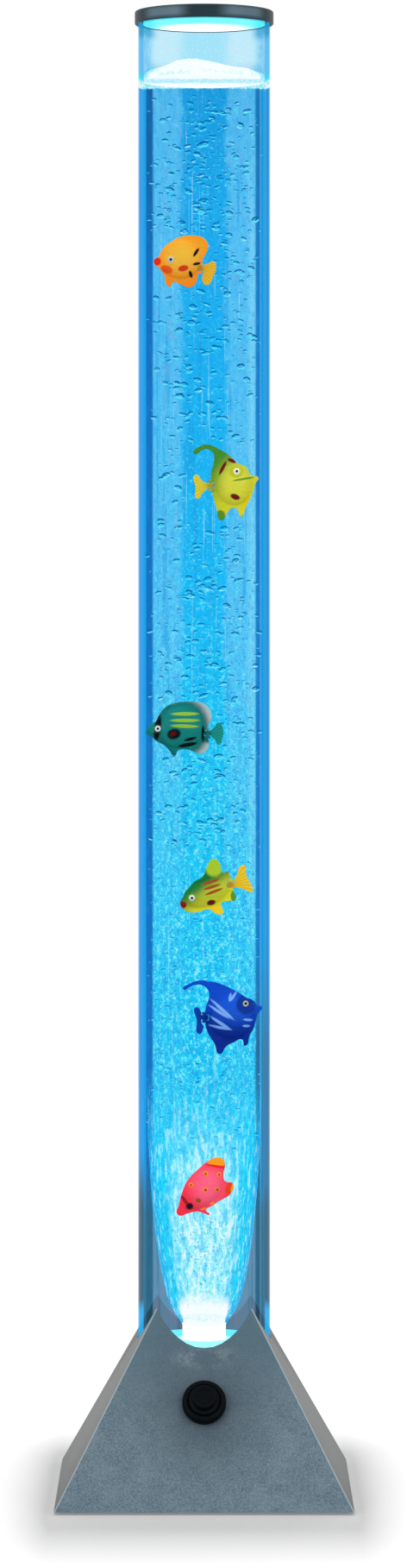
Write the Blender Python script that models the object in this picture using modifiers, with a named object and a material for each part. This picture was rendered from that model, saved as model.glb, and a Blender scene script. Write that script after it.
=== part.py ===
"""Bubble fish lamp: a clear water tube on a pyramid base, with an air pump, lights and floating fish.

Metres, +Z up. The origin is on the ground under the middle of the base, the front faces -Y.
"""
import math

import bmesh
import bpy
from mathutils import Matrix, Vector

# Gaps, mesh detail and overruns
GAP = 0.0003
OVERRUN = 0.004
MERGE = 0.00001
TUBE_SEGMENTS = 48
ROUND_SEGMENTS = 24
SMALL_SEGMENTS = 14
TINY_SEGMENTS = 10
SHARP_ANGLE = math.radians(35)

# Pyramid base shell
BASE_WIDTH = 0.1763
NOTCH_HEIGHT = 0.0894
BASE_WALL = 0.0025
ROOF_THICKNESS = 0.004
SLEEVE_WALL = 0.0025
BOSS_RADIUS = 0.004

# Bottom cover and rubber feet
COVER_THICKNESS = 0.003
FOOT_RADIUS = 0.008
FOOT_THICKNESS = 0.003
FOOT_PROUD = 0.0015
FOOT_MARGIN = 0.0035
FOOT_TO_SCREW = 0.016
FOOT_FILLET = 0.0004

# Screws
SCREW_RADIUS = 0.0015
SCREW_LENGTH = 0.010
SCREW_HEAD_RADIUS = 0.0028
SCREW_HEAD_HEIGHT = 0.0015
SCREW_SLOT_WIDTH = 0.0008
SCREW_SLOT_DEPTH = 0.0007

# Water tube, its floor, seal and seat
TUBE_OUTER_DIAMETER = 0.080
TUBE_WALL = 0.003
WATER_DEPTH = 0.7561
AIR_SPACE = 0.0356
FLOOR_DROP = 0.0005
FLOOR_THICKNESS = 0.008
SEAL_RADIUS = 0.0013
LIGHT_SPACE = 0.0072
SEAT_THICKNESS = 0.003
SEAT_FLANGE = 0.003
SEAT_RING_WALL = 0.003
SEAT_SCREW_INSET = 0.005
SEAT_HOLE_RADIUS = 0.010

# Top cap and its plug
CAP_OVERHANG = 0.0019
CAP_HEIGHT = 0.008
CAP_LIP = 0.003
CAP_BEVEL = 0.0009
VENT_RADIUS = 0.0015
VENT_CIRCLE_SHARE = 0.45
VENT_COUNT = 3

# Air inlet through the floor
STEM_RADIUS = 0.004
STEM_DROP = 0.002
NOZZLE_FLANGE_RADIUS = 0.007
NOZZLE_FLANGE_HEIGHT = 0.002
NOZZLE_NUT_RADIUS = 0.0075
NOZZLE_NUT_HEIGHT = 0.003
BARB_RADIUS = 0.0022
BARB_LENGTH = 0.006
STONE_RADIUS = 0.012
STONE_HEIGHT = 0.006
STONE_BEVEL = 0.0008

# Lights under the floor
LED_BOARD_THICKNESS = 0.0016
LED_BOARD_GAP = 0.0007
LED_BOARD_HOLE = 0.001
LED_RADIUS = 0.0025
LED_BODY_HEIGHT = 0.005
LED_CIRCLE_RADIUS = 0.018
LED_COUNT = 3

# Air pump
PUMP_LENGTH = 0.048
PUMP_WIDTH = 0.034
PUMP_HEIGHT = 0.024
PUMP_WALL = 0.002
PUMP_SIDE = 0.030
PUMP_EDGE_BEVEL = 0.001
PAD_THICKNESS = 0.003
PAD_INSET = 0.003
MOVING_HEIGHT = 0.0103
CORE_LENGTH = 0.012
CORE_WIDTH = 0.022
CORE_HEIGHT = 0.008
CORE_LIMB = 0.006
CORE_SIDE_LIMB = 0.0035
CORE_YOKE = 0.004
COIL_LENGTH = 0.007
COIL_SIDE_GAP = 0.0003
COIL_BEVEL = 0.0012
MAGNET_LENGTH = 0.004
MAGNET_WIDTH = 0.007
MAGNET_TO_CORE = 0.0022
ARM_THICKNESS = 0.002
ARM_HEIGHT = 0.008
ARM_EYE_WALL = 0.0012
PIVOT_RADIUS = 0.0012
PIVOT_INSET = 0.003
DIAPHRAGM_RADIUS = 0.006
DIAPHRAGM_NECK_RADIUS = 0.0025
DIAPHRAGM_RIM = 0.0023
DIAPHRAGM_PLACE_SHARE = 0.58
VALVE_BLOCK_THICKNESS = 0.0055
VALVE_BLOCK_WIDTH = 0.014
VALVE_BLOCK_MARGIN = 0.001
OUTLET_LENGTH = 0.008

# Air line
HOSE_RADIUS = 0.0025
CHECK_VALVE_RADIUS = 0.005
CHECK_VALVE_LENGTH = 0.010
CHECK_VALVE_BACK = 0.018
CHECK_VALVE_SIDE = 0.008
HOSE_POINTS = 14
HOSE_REACH_SHARE = 0.62

# Control board and wires
BOARD_LENGTH = 0.044
BOARD_WIDTH = 0.036
BOARD_THICKNESS = 0.0016
BOARD_SIDE = 0.034
BOARD_FORWARD = 0.006
STANDOFF_HEIGHT = 0.005
STANDOFF_RADIUS = 0.002
STANDOFF_INSET = 0.0035
WIRE_RADIUS = 0.0011
WIRE_POINTS = 12
WIRE_REACH_SHARE = 0.45
LED_WIRE_RADIUS = 0.0072

# Push button and its switch
SWITCH_TO_SEAT = 0.0009
BEZEL_RADIUS = 0.013
BEZEL_HEIGHT = 0.0068
BEZEL_FLOOR = 0.0020
BEZEL_ROUND = 0.0024
BUTTON_RADIUS = 0.0092
BUTTON_TRAVEL = 0.0025
BUTTON_REST = 0.0006
BUTTON_SHOULDER = 0.0034
BUTTON_TOP_HEIGHT = 0.0085
BUTTON_TOP_RADIUS = 0.0070
BUTTON_DISH_RADIUS = 0.0050
BUTTON_DISH_DEPTH = 0.0012
BUTTON_STEM_RADIUS = 0.0026
BUTTON_STEM_LENGTH = 0.009
SWITCH_NECK_RADIUS = 0.0062
SWITCH_BODY_RADIUS = 0.008
SWITCH_BODY_LENGTH = 0.0145
SWITCH_BORE_DEPTH = 0.012
SPRING_RADIUS = 0.0042
SPRING_WIRE_RADIUS = 0.00035
SPRING_TURNS = 3
SPRING_TURN_POINTS = 10

# Power jack in its recess at the back
JACK_SIDE = 0.030
JACK_HEIGHT = 0.0165
RECESS_HALF_WIDTH = 0.009
RECESS_HALF_HEIGHT = 0.008
RECESS_TOP_DEPTH = 0.002
JACK_RADIUS = 0.0055
JACK_FLANGE_RADIUS = 0.007
JACK_FLANGE_THICKNESS = 0.0015
JACK_BODY_LENGTH = 0.012
JACK_BORE_RADIUS = 0.0033
JACK_BORE_DEPTH = 0.010
JACK_PIN_RADIUS = 0.001
JACK_PIN_LENGTH = 0.0045
JACK_NUT_RADIUS = 0.008
JACK_NUT_THICKNESS = 0.002

# Floating fish
FIN_THICKNESS = 0.0016
TAIL_THICKNESS = 0.0012
BODY_THICKNESS_SHARE = 0.32
EYE_RADIUS = 0.0016
EYE_SINK = 0.0006
TAIL_STEM_HALF_HEIGHT = 0.0009
TAIL_STEM_LENGTH = 0.0026
KNUCKLE_RADIUS = 0.0014
KNUCKLE_HEIGHT = 0.0030
LUG_RADIUS = 0.0019
LUG_HEIGHT = 0.0014
POCKET_RADIUS = 0.0023
TAIL_PIN_RADIUS = 0.00045
ORANGE_LENGTH = 0.0329
ORANGE_HEIGHT = 0.0314
ORANGE_WALL_GAP = 0.0065
GREEN_LENGTH = 0.0394
GREEN_HEIGHT = 0.0460
GREEN_WALL_GAP = 0.0041
TEAL_LENGTH = 0.0402
TEAL_HEIGHT = 0.0329
TEAL_WALL_GAP = 0.0015
LIME_LENGTH = 0.0336
LIME_HEIGHT = 0.0336
LIME_WALL_GAP = 0.0180
BLUE_LENGTH = 0.0478
BLUE_HEIGHT = 0.0445
BLUE_WALL_GAP = 0.0020
PINK_LENGTH = 0.0343
PINK_HEIGHT = 0.0352
PINK_WALL_GAP = 0.0195
LIME_LEAN = math.radians(20)
PINK_LEAN = math.radians(45)

# Sizes that follow from the ones above
TUBE_RADIUS = TUBE_OUTER_DIAMETER / 2
BORE_RADIUS = TUBE_RADIUS - TUBE_WALL
BASE_HALF = BASE_WIDTH / 2
RISE_PER_RUN = NOTCH_HEIGHT / (BASE_HALF - TUBE_RADIUS)
FACE_ANGLE = math.atan(RISE_PER_RUN)
WALL_RUN = BASE_WALL / math.sin(FACE_ANGLE)
SLEEVE_BORE = TUBE_RADIUS + GAP
NOTCH_Z = FOOT_PROUD + NOTCH_HEIGHT
TIP_Z = FOOT_PROUD + (BASE_HALF - TUBE_RADIUS / math.sqrt(2)) * RISE_PER_RUN
FLOOR_TOP_Z = NOTCH_Z - FLOOR_DROP
FLOOR_BOTTOM_Z = FLOOR_TOP_Z - FLOOR_THICKNESS
LED_HEIGHT = LED_BODY_HEIGHT + LED_RADIUS
SEAT_TOP_Z = FLOOR_BOTTOM_Z - LIGHT_SPACE - LED_HEIGHT - LED_BOARD_THICKNESS - 2 * GAP
SEAT_BOTTOM_Z = SEAT_TOP_Z - SEAT_THICKNESS
SEAT_HALF = TUBE_RADIUS + SEAT_FLANGE
SEAT_SCREW_PLACE = SEAT_HALF - SEAT_SCREW_INSET
TUBE_BOTTOM_Z = SEAT_TOP_Z + GAP
CAP_BOTTOM_Z = FLOOR_TOP_Z + WATER_DEPTH + AIR_SPACE
CAP_CEILING_Z = CAP_BOTTOM_Z + CAP_LIP
TUBE_TOP_Z = CAP_CEILING_Z - GAP
COVER_TOP_Z = FOOT_PROUD + COVER_THICKNESS
STEM_BOTTOM_Z = SEAT_BOTTOM_Z - STEM_DROP
NOZZLE_BOTTOM_Z = STEM_BOTTOM_Z - BARB_LENGTH
FLANGE_BOTTOM_Z = FLOOR_TOP_Z + GAP
FLANGE_TOP_Z = FLANGE_BOTTOM_Z + NOZZLE_FLANGE_HEIGHT
LED_BOARD_TOP_Z = SEAT_TOP_Z + GAP + LED_BOARD_THICKNESS
BOARD_BOTTOM_Z = COVER_TOP_Z + STANDOFF_HEIGHT + GAP
BOARD_TOP_Z = BOARD_BOTTOM_Z + BOARD_THICKNESS
CORNERS = {
    "front_left": (-1, -1),
    "front_right": (1, -1),
    "back_left": (-1, 1),
    "back_right": (1, 1),
}


def half_width(z):
    """Half the width of the base's outside at a height."""
    return BASE_HALF - (z - FOOT_PROUD) / RISE_PER_RUN


def button_height():
    """The height on the front face at which the switch, square to the face, clears the seat's front edge."""
    switch_top = SEAT_BOTTOM_Z - SWITCH_TO_SEAT - SWITCH_BODY_RADIUS / math.sin(FACE_ANGLE)
    rise_at_ground = (half_width(0) - SEAT_HALF) / RISE_PER_RUN
    return (switch_top + rise_at_ground) * math.sin(FACE_ANGLE) ** 2


BUTTON_Z = button_height()
COVER_HALF = half_width(COVER_TOP_Z) - WALL_RUN - GAP
FOOT_PLACE = COVER_HALF - FOOT_RADIUS - FOOT_MARGIN
BOSS_PLACE = FOOT_PLACE - FOOT_TO_SCREW
RECESS_Y = half_width(JACK_HEIGHT + RECESS_HALF_HEIGHT) - RECESS_TOP_DEPTH

# Outlines of the fish, as shares of each body's length and height from its centre, seen from the front
ORANGE_OUTLINE_SHARES = (
    (-0.50, 0.00), (-0.37, 0.13), (-0.22, 0.34), (0.01, 0.48), (0.23, 0.50), (0.43, 0.44), (0.50, 0.31),
    (0.45, 0.13), (0.36, -0.01), (0.32, -0.15), (0.31, -0.31), (0.23, -0.47), (0.14, -0.50), (0.01, -0.45),
    (-0.15, -0.40), (-0.19, -0.49), (-0.27, -0.44), (-0.30, -0.29), (-0.38, -0.15),
)
GREEN_OUTLINE_SHARES = (
    (-0.50, 0.38), (-0.39, 0.48), (-0.28, 0.50), (-0.13, 0.45), (0.06, 0.35), (0.17, 0.26), (0.32, 0.20),
    (0.37, 0.10), (0.50, 0.06), (0.46, -0.00), (0.39, -0.18), (0.31, -0.31), (0.22, -0.45), (0.18, -0.36),
    (0.11, -0.33), (0.02, -0.40), (-0.07, -0.50), (-0.15, -0.33), (-0.20, -0.18), (-0.23, -0.04),
    (-0.23, 0.13), (-0.19, 0.26), (-0.20, 0.39), (-0.31, 0.44),
)
TEAL_OUTLINE_SHARES = (
    (-0.50, -0.06), (-0.35, 0.09), (-0.30, 0.24), (-0.17, 0.42), (-0.03, 0.48), (0.15, 0.50), (0.34, 0.48),
    (0.45, 0.38), (0.50, 0.20), (0.44, 0.04), (0.43, -0.13), (0.46, -0.29), (0.39, -0.43), (0.30, -0.46),
    (0.19, -0.40), (-0.01, -0.40), (-0.06, -0.50), (-0.14, -0.40), (-0.21, -0.31), (-0.34, -0.22),
    (-0.41, -0.14),
)
LIME_OUTLINE_SHARES = (
    (-0.50, -0.29), (-0.43, -0.17), (-0.35, -0.04), (-0.24, 0.09), (-0.09, 0.18), (-0.02, 0.35), (0.10, 0.50),
    (0.22, 0.41), (0.28, 0.24), (0.35, 0.28), (0.40, 0.20), (0.43, 0.11), (0.45, -0.04), (0.50, -0.24),
    (0.39, -0.26), (0.24, -0.30), (0.28, -0.48), (0.17, -0.50), (0.02, -0.41), (-0.17, -0.46), (-0.35, -0.46),
    (-0.45, -0.40),
)
BLUE_OUTLINE_SHARES = (
    (-0.50, 0.38), (-0.41, 0.46), (-0.29, 0.50), (-0.16, 0.49), (-0.01, 0.45), (0.11, 0.39), (0.20, 0.34),
    (0.31, 0.25), (0.35, 0.16), (0.50, 0.14), (0.45, 0.06), (0.42, -0.05), (0.39, -0.16), (0.35, -0.23),
    (0.28, -0.39), (0.25, -0.30), (0.14, -0.34), (0.05, -0.39), (-0.04, -0.50), (-0.10, -0.36),
    (-0.19, -0.20), (-0.23, -0.02), (-0.21, 0.15), (-0.17, 0.28), (-0.19, 0.38), (-0.27, 0.44), (-0.38, 0.43),
)
PINK_OUTLINE_SHARES = (
    (-0.50, -0.44), (-0.46, -0.33), (-0.43, -0.21), (-0.37, -0.02), (-0.27, 0.15), (-0.12, 0.29),
    (0.03, 0.42), (0.22, 0.50), (0.33, 0.46), (0.36, 0.38), (0.33, 0.21), (0.36, 0.09), (0.50, 0.05),
    (0.45, -0.13),
    (0.33, -0.21), (0.22, -0.27), (0.14, -0.33), (0.02, -0.41), (0.09, -0.48), (-0.01, -0.46),
    (-0.12, -0.43), (-0.29, -0.46), (-0.45, -0.50),
)

# Tail fans behind their stems, as shares of the body's length from the tail's pin
ORANGE_TAIL_SHARES = (
    (0.112, 0.055), (0.255, 0.112), (0.316, 0.0), (0.277, -0.155), (0.20, -0.30), (0.112, -0.322),
    (0.095, -0.152),
)
GREEN_TAIL_SHARES = ((-0.102, 0.056), (-0.223, 0.168), (-0.195, -0.018), (-0.195, -0.203), (-0.102, -0.056))
TEAL_TAIL_SHARES = ((0.09, 0.045), (0.197, 0.154), (0.236, -0.010), (0.169, -0.182), (0.09, -0.065))
LIME_TAIL_SHARES = (
    (0.10, 0.13), (0.229, 0.304), (0.304, 0.045), (0.423, -0.173), (0.25, -0.131), (0.119, -0.045),
)
BLUE_TAIL_SHARES = ((-0.072, 0.046), (-0.128, 0.115), (-0.111, -0.031), (-0.105, -0.199), (-0.072, -0.107))

# Each fish: size, side of the tube it swims at, gap to the wall there, height in the water, outline, the
# middle and half size of its thick body, how far that leans, the tail's pin and fan, the eye, the colours
FISH = {
    "orange_fish": {
        "length": ORANGE_LENGTH, "height": ORANGE_HEIGHT, "side": -1, "wall_gap": ORANGE_WALL_GAP,
        "height_share": 0.8584, "outline_shares": ORANGE_OUTLINE_SHARES,
        "core_shares": (0.0, 0.04, 0.40, 0.38), "lean": 0, "pin_shares": (0.34, -0.13),
        "tail_shares": ORANGE_TAIL_SHARES, "eye_shares": (-0.185, 0.028),
        "colour": (0.90, 0.35, 0.03), "tail_colour": (0.95, 0.62, 0.03),
    },
    "green_fish": {
        "length": GREEN_LENGTH, "height": GREEN_HEIGHT, "side": 1, "wall_gap": GREEN_WALL_GAP,
        "height_share": 0.6821, "outline_shares": GREEN_OUTLINE_SHARES,
        "core_shares": (0.12, -0.02, 0.28, 0.28), "lean": 0, "pin_shares": (-0.23, -0.04),
        "tail_shares": GREEN_TAIL_SHARES, "eye_shares": (0.164, 0.145),
        "colour": (0.20, 0.50, 0.06), "tail_colour": (0.85, 0.75, 0.04),
    },
    "teal_fish": {
        "length": TEAL_LENGTH, "height": TEAL_HEIGHT, "side": -1, "wall_gap": TEAL_WALL_GAP,
        "height_share": 0.4857, "outline_shares": TEAL_OUTLINE_SHARES,
        "core_shares": (0.02, 0.02, 0.38, 0.38), "lean": 0, "pin_shares": (0.43, -0.08),
        "tail_shares": TEAL_TAIL_SHARES, "eye_shares": (-0.312, 0.005),
        "colour": (0.01, 0.16, 0.15), "tail_colour": (0.02, 0.40, 0.42),
    },
    "lime_fish": {
        "length": LIME_LENGTH, "height": LIME_HEIGHT, "side": 1, "wall_gap": LIME_WALL_GAP,
        "height_share": 0.3599, "outline_shares": LIME_OUTLINE_SHARES,
        "core_shares": (-0.02, -0.13, 0.41, 0.22), "lean": LIME_LEAN, "pin_shares": (0.40, 0.03),
        "tail_shares": LIME_TAIL_SHARES, "eye_shares": (-0.284, -0.199),
        "colour": (0.40, 0.62, 0.05), "tail_colour": (0.90, 0.70, 0.03),
    },
    "blue_fish": {
        "length": BLUE_LENGTH, "height": BLUE_HEIGHT, "side": 1, "wall_gap": BLUE_WALL_GAP,
        "height_share": 0.2555, "outline_shares": BLUE_OUTLINE_SHARES,
        "core_shares": (0.11, 0.0, 0.27, 0.29), "lean": 0, "pin_shares": (-0.22, 0.0),
        "tail_shares": BLUE_TAIL_SHARES, "eye_shares": (0.292, 0.193),
        "colour": (0.01, 0.06, 0.50), "tail_colour": (0.01, 0.10, 0.60),
    },
    "pink_fish": {
        "length": PINK_LENGTH, "height": PINK_HEIGHT, "side": 1, "wall_gap": PINK_WALL_GAP,
        "height_share": 0.1206, "outline_shares": PINK_OUTLINE_SHARES,
        "core_shares": (-0.03, -0.04, 0.42, 0.27), "lean": PINK_LEAN, "pin_shares": None, "tail_shares": (),
        "eye_shares": (-0.267, -0.332),
        "colour": (0.85, 0.10, 0.14), "tail_colour": None,
    },
}


def start_scene():
    """Empty the scene and add one collection for the lamp and one for the cutters."""
    for item in list(bpy.data.objects):
        bpy.data.objects.remove(item, do_unlink=True)
    collections = []
    for name in ("bubble_fish_lamp", "cutters"):
        collection = bpy.data.collections.new(name)
        bpy.context.scene.collection.children.link(collection)
        collections.append(collection)
    return collections


LAMP, CUTTERS = start_scene()


def material(name, colour, roughness, metallic=0.0, alpha=1.0):
    """A Principled material for one piece."""
    surface = bpy.data.materials.new(name)
    surface.use_nodes = True
    shader = surface.node_tree.nodes["Principled BSDF"]
    shader.inputs["Base Color"].default_value = (*colour, 1.0)
    shader.inputs["Roughness"].default_value = roughness
    shader.inputs["Metallic"].default_value = metallic
    shader.inputs["Alpha"].default_value = alpha
    return surface


def place(name, data, collection, parent=None, location=(0, 0, 0), rotation=(0, 0, 0)):
    """Link an object for some data at a place under its parent."""
    item = bpy.data.objects.new(name, data)
    collection.objects.link(item)
    item.parent = parent
    item.location = location
    item.rotation_euler = rotation
    return item


def piece(name, mesh, surface, parent=None, location=(0, 0, 0), rotation=(0, 0, 0)):
    """A named piece of the lamp with its own material."""
    mesh.name = name
    mesh.materials.clear()
    mesh.materials.append(surface)
    return place(name, mesh, LAMP, parent, location, rotation)


def cutter(name, mesh, parent=None, location=(0, 0, 0), rotation=(0, 0, 0)):
    """A hidden shape that cuts or joins a piece."""
    item = place(name, mesh, CUTTERS, parent, location, rotation)
    item.hide_render = True
    item.display_type = "WIRE"
    return item


def combine(item, operation, other):
    """Cut, join or intersect an object with another."""
    step = item.modifiers.new(operation.lower(), "BOOLEAN")
    step.operation = operation
    step.object = other


def frame(name, location, rotation=(0, 0, 0), parent=None):
    """An empty that carries a group of pieces."""
    empty = place(name, None, LAMP, parent, location, rotation)
    empty.empty_display_size = BASE_WALL
    return empty


def finish_mesh(shape, smooth):
    """Turn a bmesh into a mesh, shaded smooth where it is round."""
    mesh = bpy.data.meshes.new("shape")
    shape.to_mesh(mesh)
    shape.free()
    if smooth:
        mesh.shade_smooth()
        mesh.set_sharp_from_angle(angle=SHARP_ANGLE)
    return mesh


def box(size, centre, bevel=0.0):
    """A box mesh, with its edges rounded if a bevel is given."""
    shape = bmesh.new()
    matrix = Matrix.Translation(centre) @ Matrix.Diagonal((*size, 1.0))
    bmesh.ops.create_cube(shape, size=1.0, matrix=matrix)
    if bevel:
        bmesh.ops.bevel(shape, geom=shape.edges[:], offset=bevel, segments=2, affect="EDGES", profile=0.5)
    return finish_mesh(shape, False)


def cylinders(places, radius, low, high, segments):
    """One mesh with an upright cylinder at each place."""
    shape = bmesh.new()
    for x, y in places:
        middle = Matrix.Translation((x, y, (low + high) / 2))
        bmesh.ops.create_cone(
            shape, cap_ends=True, segments=segments, radius1=radius, radius2=radius, depth=high - low,
            matrix=middle,
        )
    return finish_mesh(shape, True)


def pyramid(low, high, half_low, half_high):
    """A four-sided frustum between two heights."""
    shape = bmesh.new()
    turn = Matrix.Translation((0, 0, (low + high) / 2)) @ Matrix.Rotation(math.pi / 4, 4, "Z")
    corner = math.sqrt(2)
    bmesh.ops.create_cone(
        shape, cap_ends=True, segments=4, radius1=half_low * corner, radius2=half_high * corner,
        depth=high - low, matrix=turn,
    )
    return finish_mesh(shape, False)


def turned(name, profile, surface, segments, parent=None, location=(0, 0, 0), rotation=(0, 0, 0), ring=False):
    """A turned piece: its profile runs from top to bottom down the outside, and back up inside a ring."""
    mesh = bpy.data.meshes.new(name)
    count = len(profile)
    edges = [(i, i + 1) for i in range(count - 1)]
    if ring:
        edges.append((count - 1, 0))
    mesh.from_pydata([(radius, 0, z) for radius, z in profile], edges, [])
    if surface:
        item = piece(name, mesh, surface, parent, location, rotation)
    else:
        item = cutter(name, mesh, parent, location, rotation)
    spin = item.modifiers.new("turn", "SCREW")
    spin.axis = "Z"
    spin.angle = 2 * math.pi
    spin.steps = segments
    spin.render_steps = segments
    spin.use_merge_vertices = True
    spin.merge_threshold = MERGE
    spin.use_smooth_shade = False
    return item


def outline_plate(points, thickness):
    """A flat plate with an outline in the XZ plane, centred on Y = 0."""
    curve = bpy.data.curves.new("outline", "CURVE")
    curve.dimensions = "2D"
    curve.fill_mode = "BOTH"
    curve.extrude = thickness / 2
    spline = curve.splines.new("POLY")
    spline.points.add(len(points) - 1)
    for point, (x, z) in zip(spline.points, points):
        point.co = (x, z, 0, 1)
    spline.use_cyclic_u = True
    guide = place("outline_guide", curve, CUTTERS)
    evaluated = guide.evaluated_get(bpy.context.evaluated_depsgraph_get())
    flat = bpy.data.meshes.new_from_object(evaluated)
    bpy.data.objects.remove(guide, do_unlink=True)
    shape = bmesh.new()
    shape.from_mesh(flat)
    bpy.data.meshes.remove(flat)
    bmesh.ops.remove_doubles(shape, verts=shape.verts[:], dist=MERGE)
    bmesh.ops.transform(shape, matrix=Matrix.Rotation(math.pi / 2, 4, "X"), verts=shape.verts[:])
    bmesh.ops.recalc_face_normals(shape, faces=shape.faces[:])
    return finish_mesh(shape, False)


def bend(start, start_way, end, end_way, share, count):
    """Points along a smooth bend that leaves one end and arrives at the other in the given directions."""
    start, end = Vector(start), Vector(end)
    reach = (end - start).length * share
    near = start + Vector(start_way).normalized() * reach
    far = end - Vector(end_way).normalized() * reach
    points = []
    for step in range(count):
        t = step / (count - 1)
        s = 1 - t
        points.append(s**3 * start + 3 * s * s * t * near + 3 * s * t * t * far + t**3 * end)
    return points


def round_line(name, points, radius, surface, parent=None, resolution=2):
    """A hose, wire or spring: a round tube along its points, with closed ends."""
    curve = bpy.data.curves.new(name, "CURVE")
    curve.dimensions = "3D"
    curve.bevel_depth = radius
    curve.bevel_resolution = resolution
    curve.use_fill_caps = True
    spline = curve.splines.new("POLY")
    spline.points.add(len(points) - 1)
    for knot, point in zip(spline.points, points):
        knot.co = (*point, 1)
    curve.materials.append(surface)
    return place(name, curve, LAMP, parent)


def base_shell():
    """The hollow pyramid: notched by the tube, with a sleeve round the tube and screw bosses inside."""
    top = TIP_Z + OVERRUN
    bottom = FOOT_PROUD
    grey = material("slate_paint", (0.15, 0.21, 0.26), 0.45, 0.35)
    shell = piece("base_shell", pyramid(bottom, top, half_width(bottom), half_width(top)), grey)

    hollow_low = bottom - OVERRUN
    hollow_high = NOTCH_Z - ROOF_THICKNESS
    hollow_bottom_half = half_width(hollow_low) - WALL_RUN
    hollow_top_half = half_width(hollow_high) - WALL_RUN
    hollow = cutter("shell_hollow", pyramid(hollow_low, hollow_high, hollow_bottom_half, hollow_top_half))
    sleeve = cutter(
        "sleeve_room",
        cylinders([(0, 0)], SLEEVE_BORE + SLEEVE_WALL, SEAT_TOP_Z + GAP, top, TUBE_SEGMENTS),
    )
    seat_places = [(x * SEAT_SCREW_PLACE, y * SEAT_SCREW_PLACE) for x, y in CORNERS.values()]
    cover_places = [(x * FOOT_PLACE, y * BOSS_PLACE) for x, y in CORNERS.values()]
    posts = cutter("seat_posts", cylinders(seat_places, BOSS_RADIUS, SEAT_TOP_Z + GAP, top, SMALL_SEGMENTS))
    bosses = cutter(
        "cover_bosses", cylinders(cover_places, BOSS_RADIUS, COVER_TOP_Z + GAP, top, SMALL_SEGMENTS)
    )
    recess_size = (
        2 * (RECESS_HALF_WIDTH + BASE_WALL),
        BASE_HALF,
        2 * (RECESS_HALF_HEIGHT + BASE_WALL),
    )
    recess_middle = (JACK_SIDE, RECESS_Y - BASE_WALL + BASE_HALF / 2, JACK_HEIGHT)
    recess_walls = cutter("recess_walls", box(recess_size, recess_middle))
    for solid in (sleeve, posts, bosses, recess_walls):
        combine(hollow, "DIFFERENCE", solid)
    combine(shell, "DIFFERENCE", hollow)

    bore = cutter(
        "tube_way",
        cylinders([(0, 0)], SLEEVE_BORE, SEAT_TOP_Z - OVERRUN, top + OVERRUN, TUBE_SEGMENTS),
    )
    combine(shell, "DIFFERENCE", bore)
    recess_cut = box(
        (2 * RECESS_HALF_WIDTH, BASE_HALF, 2 * RECESS_HALF_HEIGHT),
        (JACK_SIDE, RECESS_Y + BASE_HALF / 2, JACK_HEIGHT),
    )
    combine(shell, "DIFFERENCE", cutter("recess_cut", recess_cut))
    jack_cut = cutter(
        "jack_way", cylinders([(0, 0)], JACK_RADIUS + GAP, -OVERRUN, OVERRUN, SMALL_SEGMENTS),
        None, (JACK_SIDE, RECESS_Y, JACK_HEIGHT), (math.pi / 2, 0, 0),
    )
    combine(shell, "DIFFERENCE", jack_cut)
    pilot = SCREW_RADIUS + GAP
    for name, places, seat_z in (
        ("seat_pilots", seat_places, SEAT_TOP_Z),
        ("cover_pilots", cover_places, COVER_TOP_Z),
    ):
        pilots = cylinders(places, pilot, seat_z - OVERRUN, seat_z + SCREW_LENGTH, TINY_SEGMENTS)
        combine(shell, "DIFFERENCE", cutter(name, pilots))
    return shell


def bottom_cover():
    """The flat cover: recesses for feet and screw heads below, and standoffs for the control board above."""
    black = material("black_plastic", (0.02, 0.022, 0.025), 0.55)
    cover_size = (2 * COVER_HALF, 2 * COVER_HALF, COVER_THICKNESS)
    cover = piece("bottom_cover", box(cover_size, (0, 0, FOOT_PROUD + COVER_THICKNESS / 2)), black)
    foot_places = [(x * FOOT_PLACE, y * FOOT_PLACE) for x, y in CORNERS.values()]
    screw_places = [(x * FOOT_PLACE, y * BOSS_PLACE) for x, y in CORNERS.values()]
    low = FOOT_PROUD - OVERRUN
    recesses = cylinders(foot_places, FOOT_RADIUS + GAP, low, FOOT_THICKNESS + GAP, ROUND_SEGMENTS)
    head_rooms = cylinders(
        screw_places, SCREW_HEAD_RADIUS + GAP, low, FOOT_PROUD + SCREW_HEAD_HEIGHT + GAP, SMALL_SEGMENTS
    )
    holes = cylinders(screw_places, SCREW_RADIUS + GAP, low, COVER_TOP_Z + OVERRUN, TINY_SEGMENTS)
    for name, mesh in (("foot_recesses", recesses), ("cover_head_rooms", head_rooms), ("cover_holes", holes)):
        combine(cover, "DIFFERENCE", cutter(name, mesh))
    post_x = BOARD_LENGTH / 2 - STANDOFF_INSET
    post_y = BOARD_WIDTH / 2 - STANDOFF_INSET
    post_places = [(BOARD_SIDE + x * post_x, -BOARD_FORWARD + y * post_y) for x, y in CORNERS.values()]
    post_low = COVER_TOP_Z - COVER_THICKNESS / 2
    post_high = COVER_TOP_Z + STANDOFF_HEIGHT
    standoffs = cylinders(post_places, STANDOFF_RADIUS, post_low, post_high, TINY_SEGMENTS)
    combine(cover, "UNION", cutter("standoffs", standoffs))


def foot(name, place_x, place_y, surface):
    """A rubber foot pressed into the cover."""
    turned(
        name,
        [
            (0, FOOT_THICKNESS), (FOOT_RADIUS, FOOT_THICKNESS), (FOOT_RADIUS, FOOT_FILLET),
            (FOOT_RADIUS - FOOT_FILLET, 0), (0, 0),
        ],
        surface, ROUND_SEGMENTS, None, (place_x, place_y, 0),
    )


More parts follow.
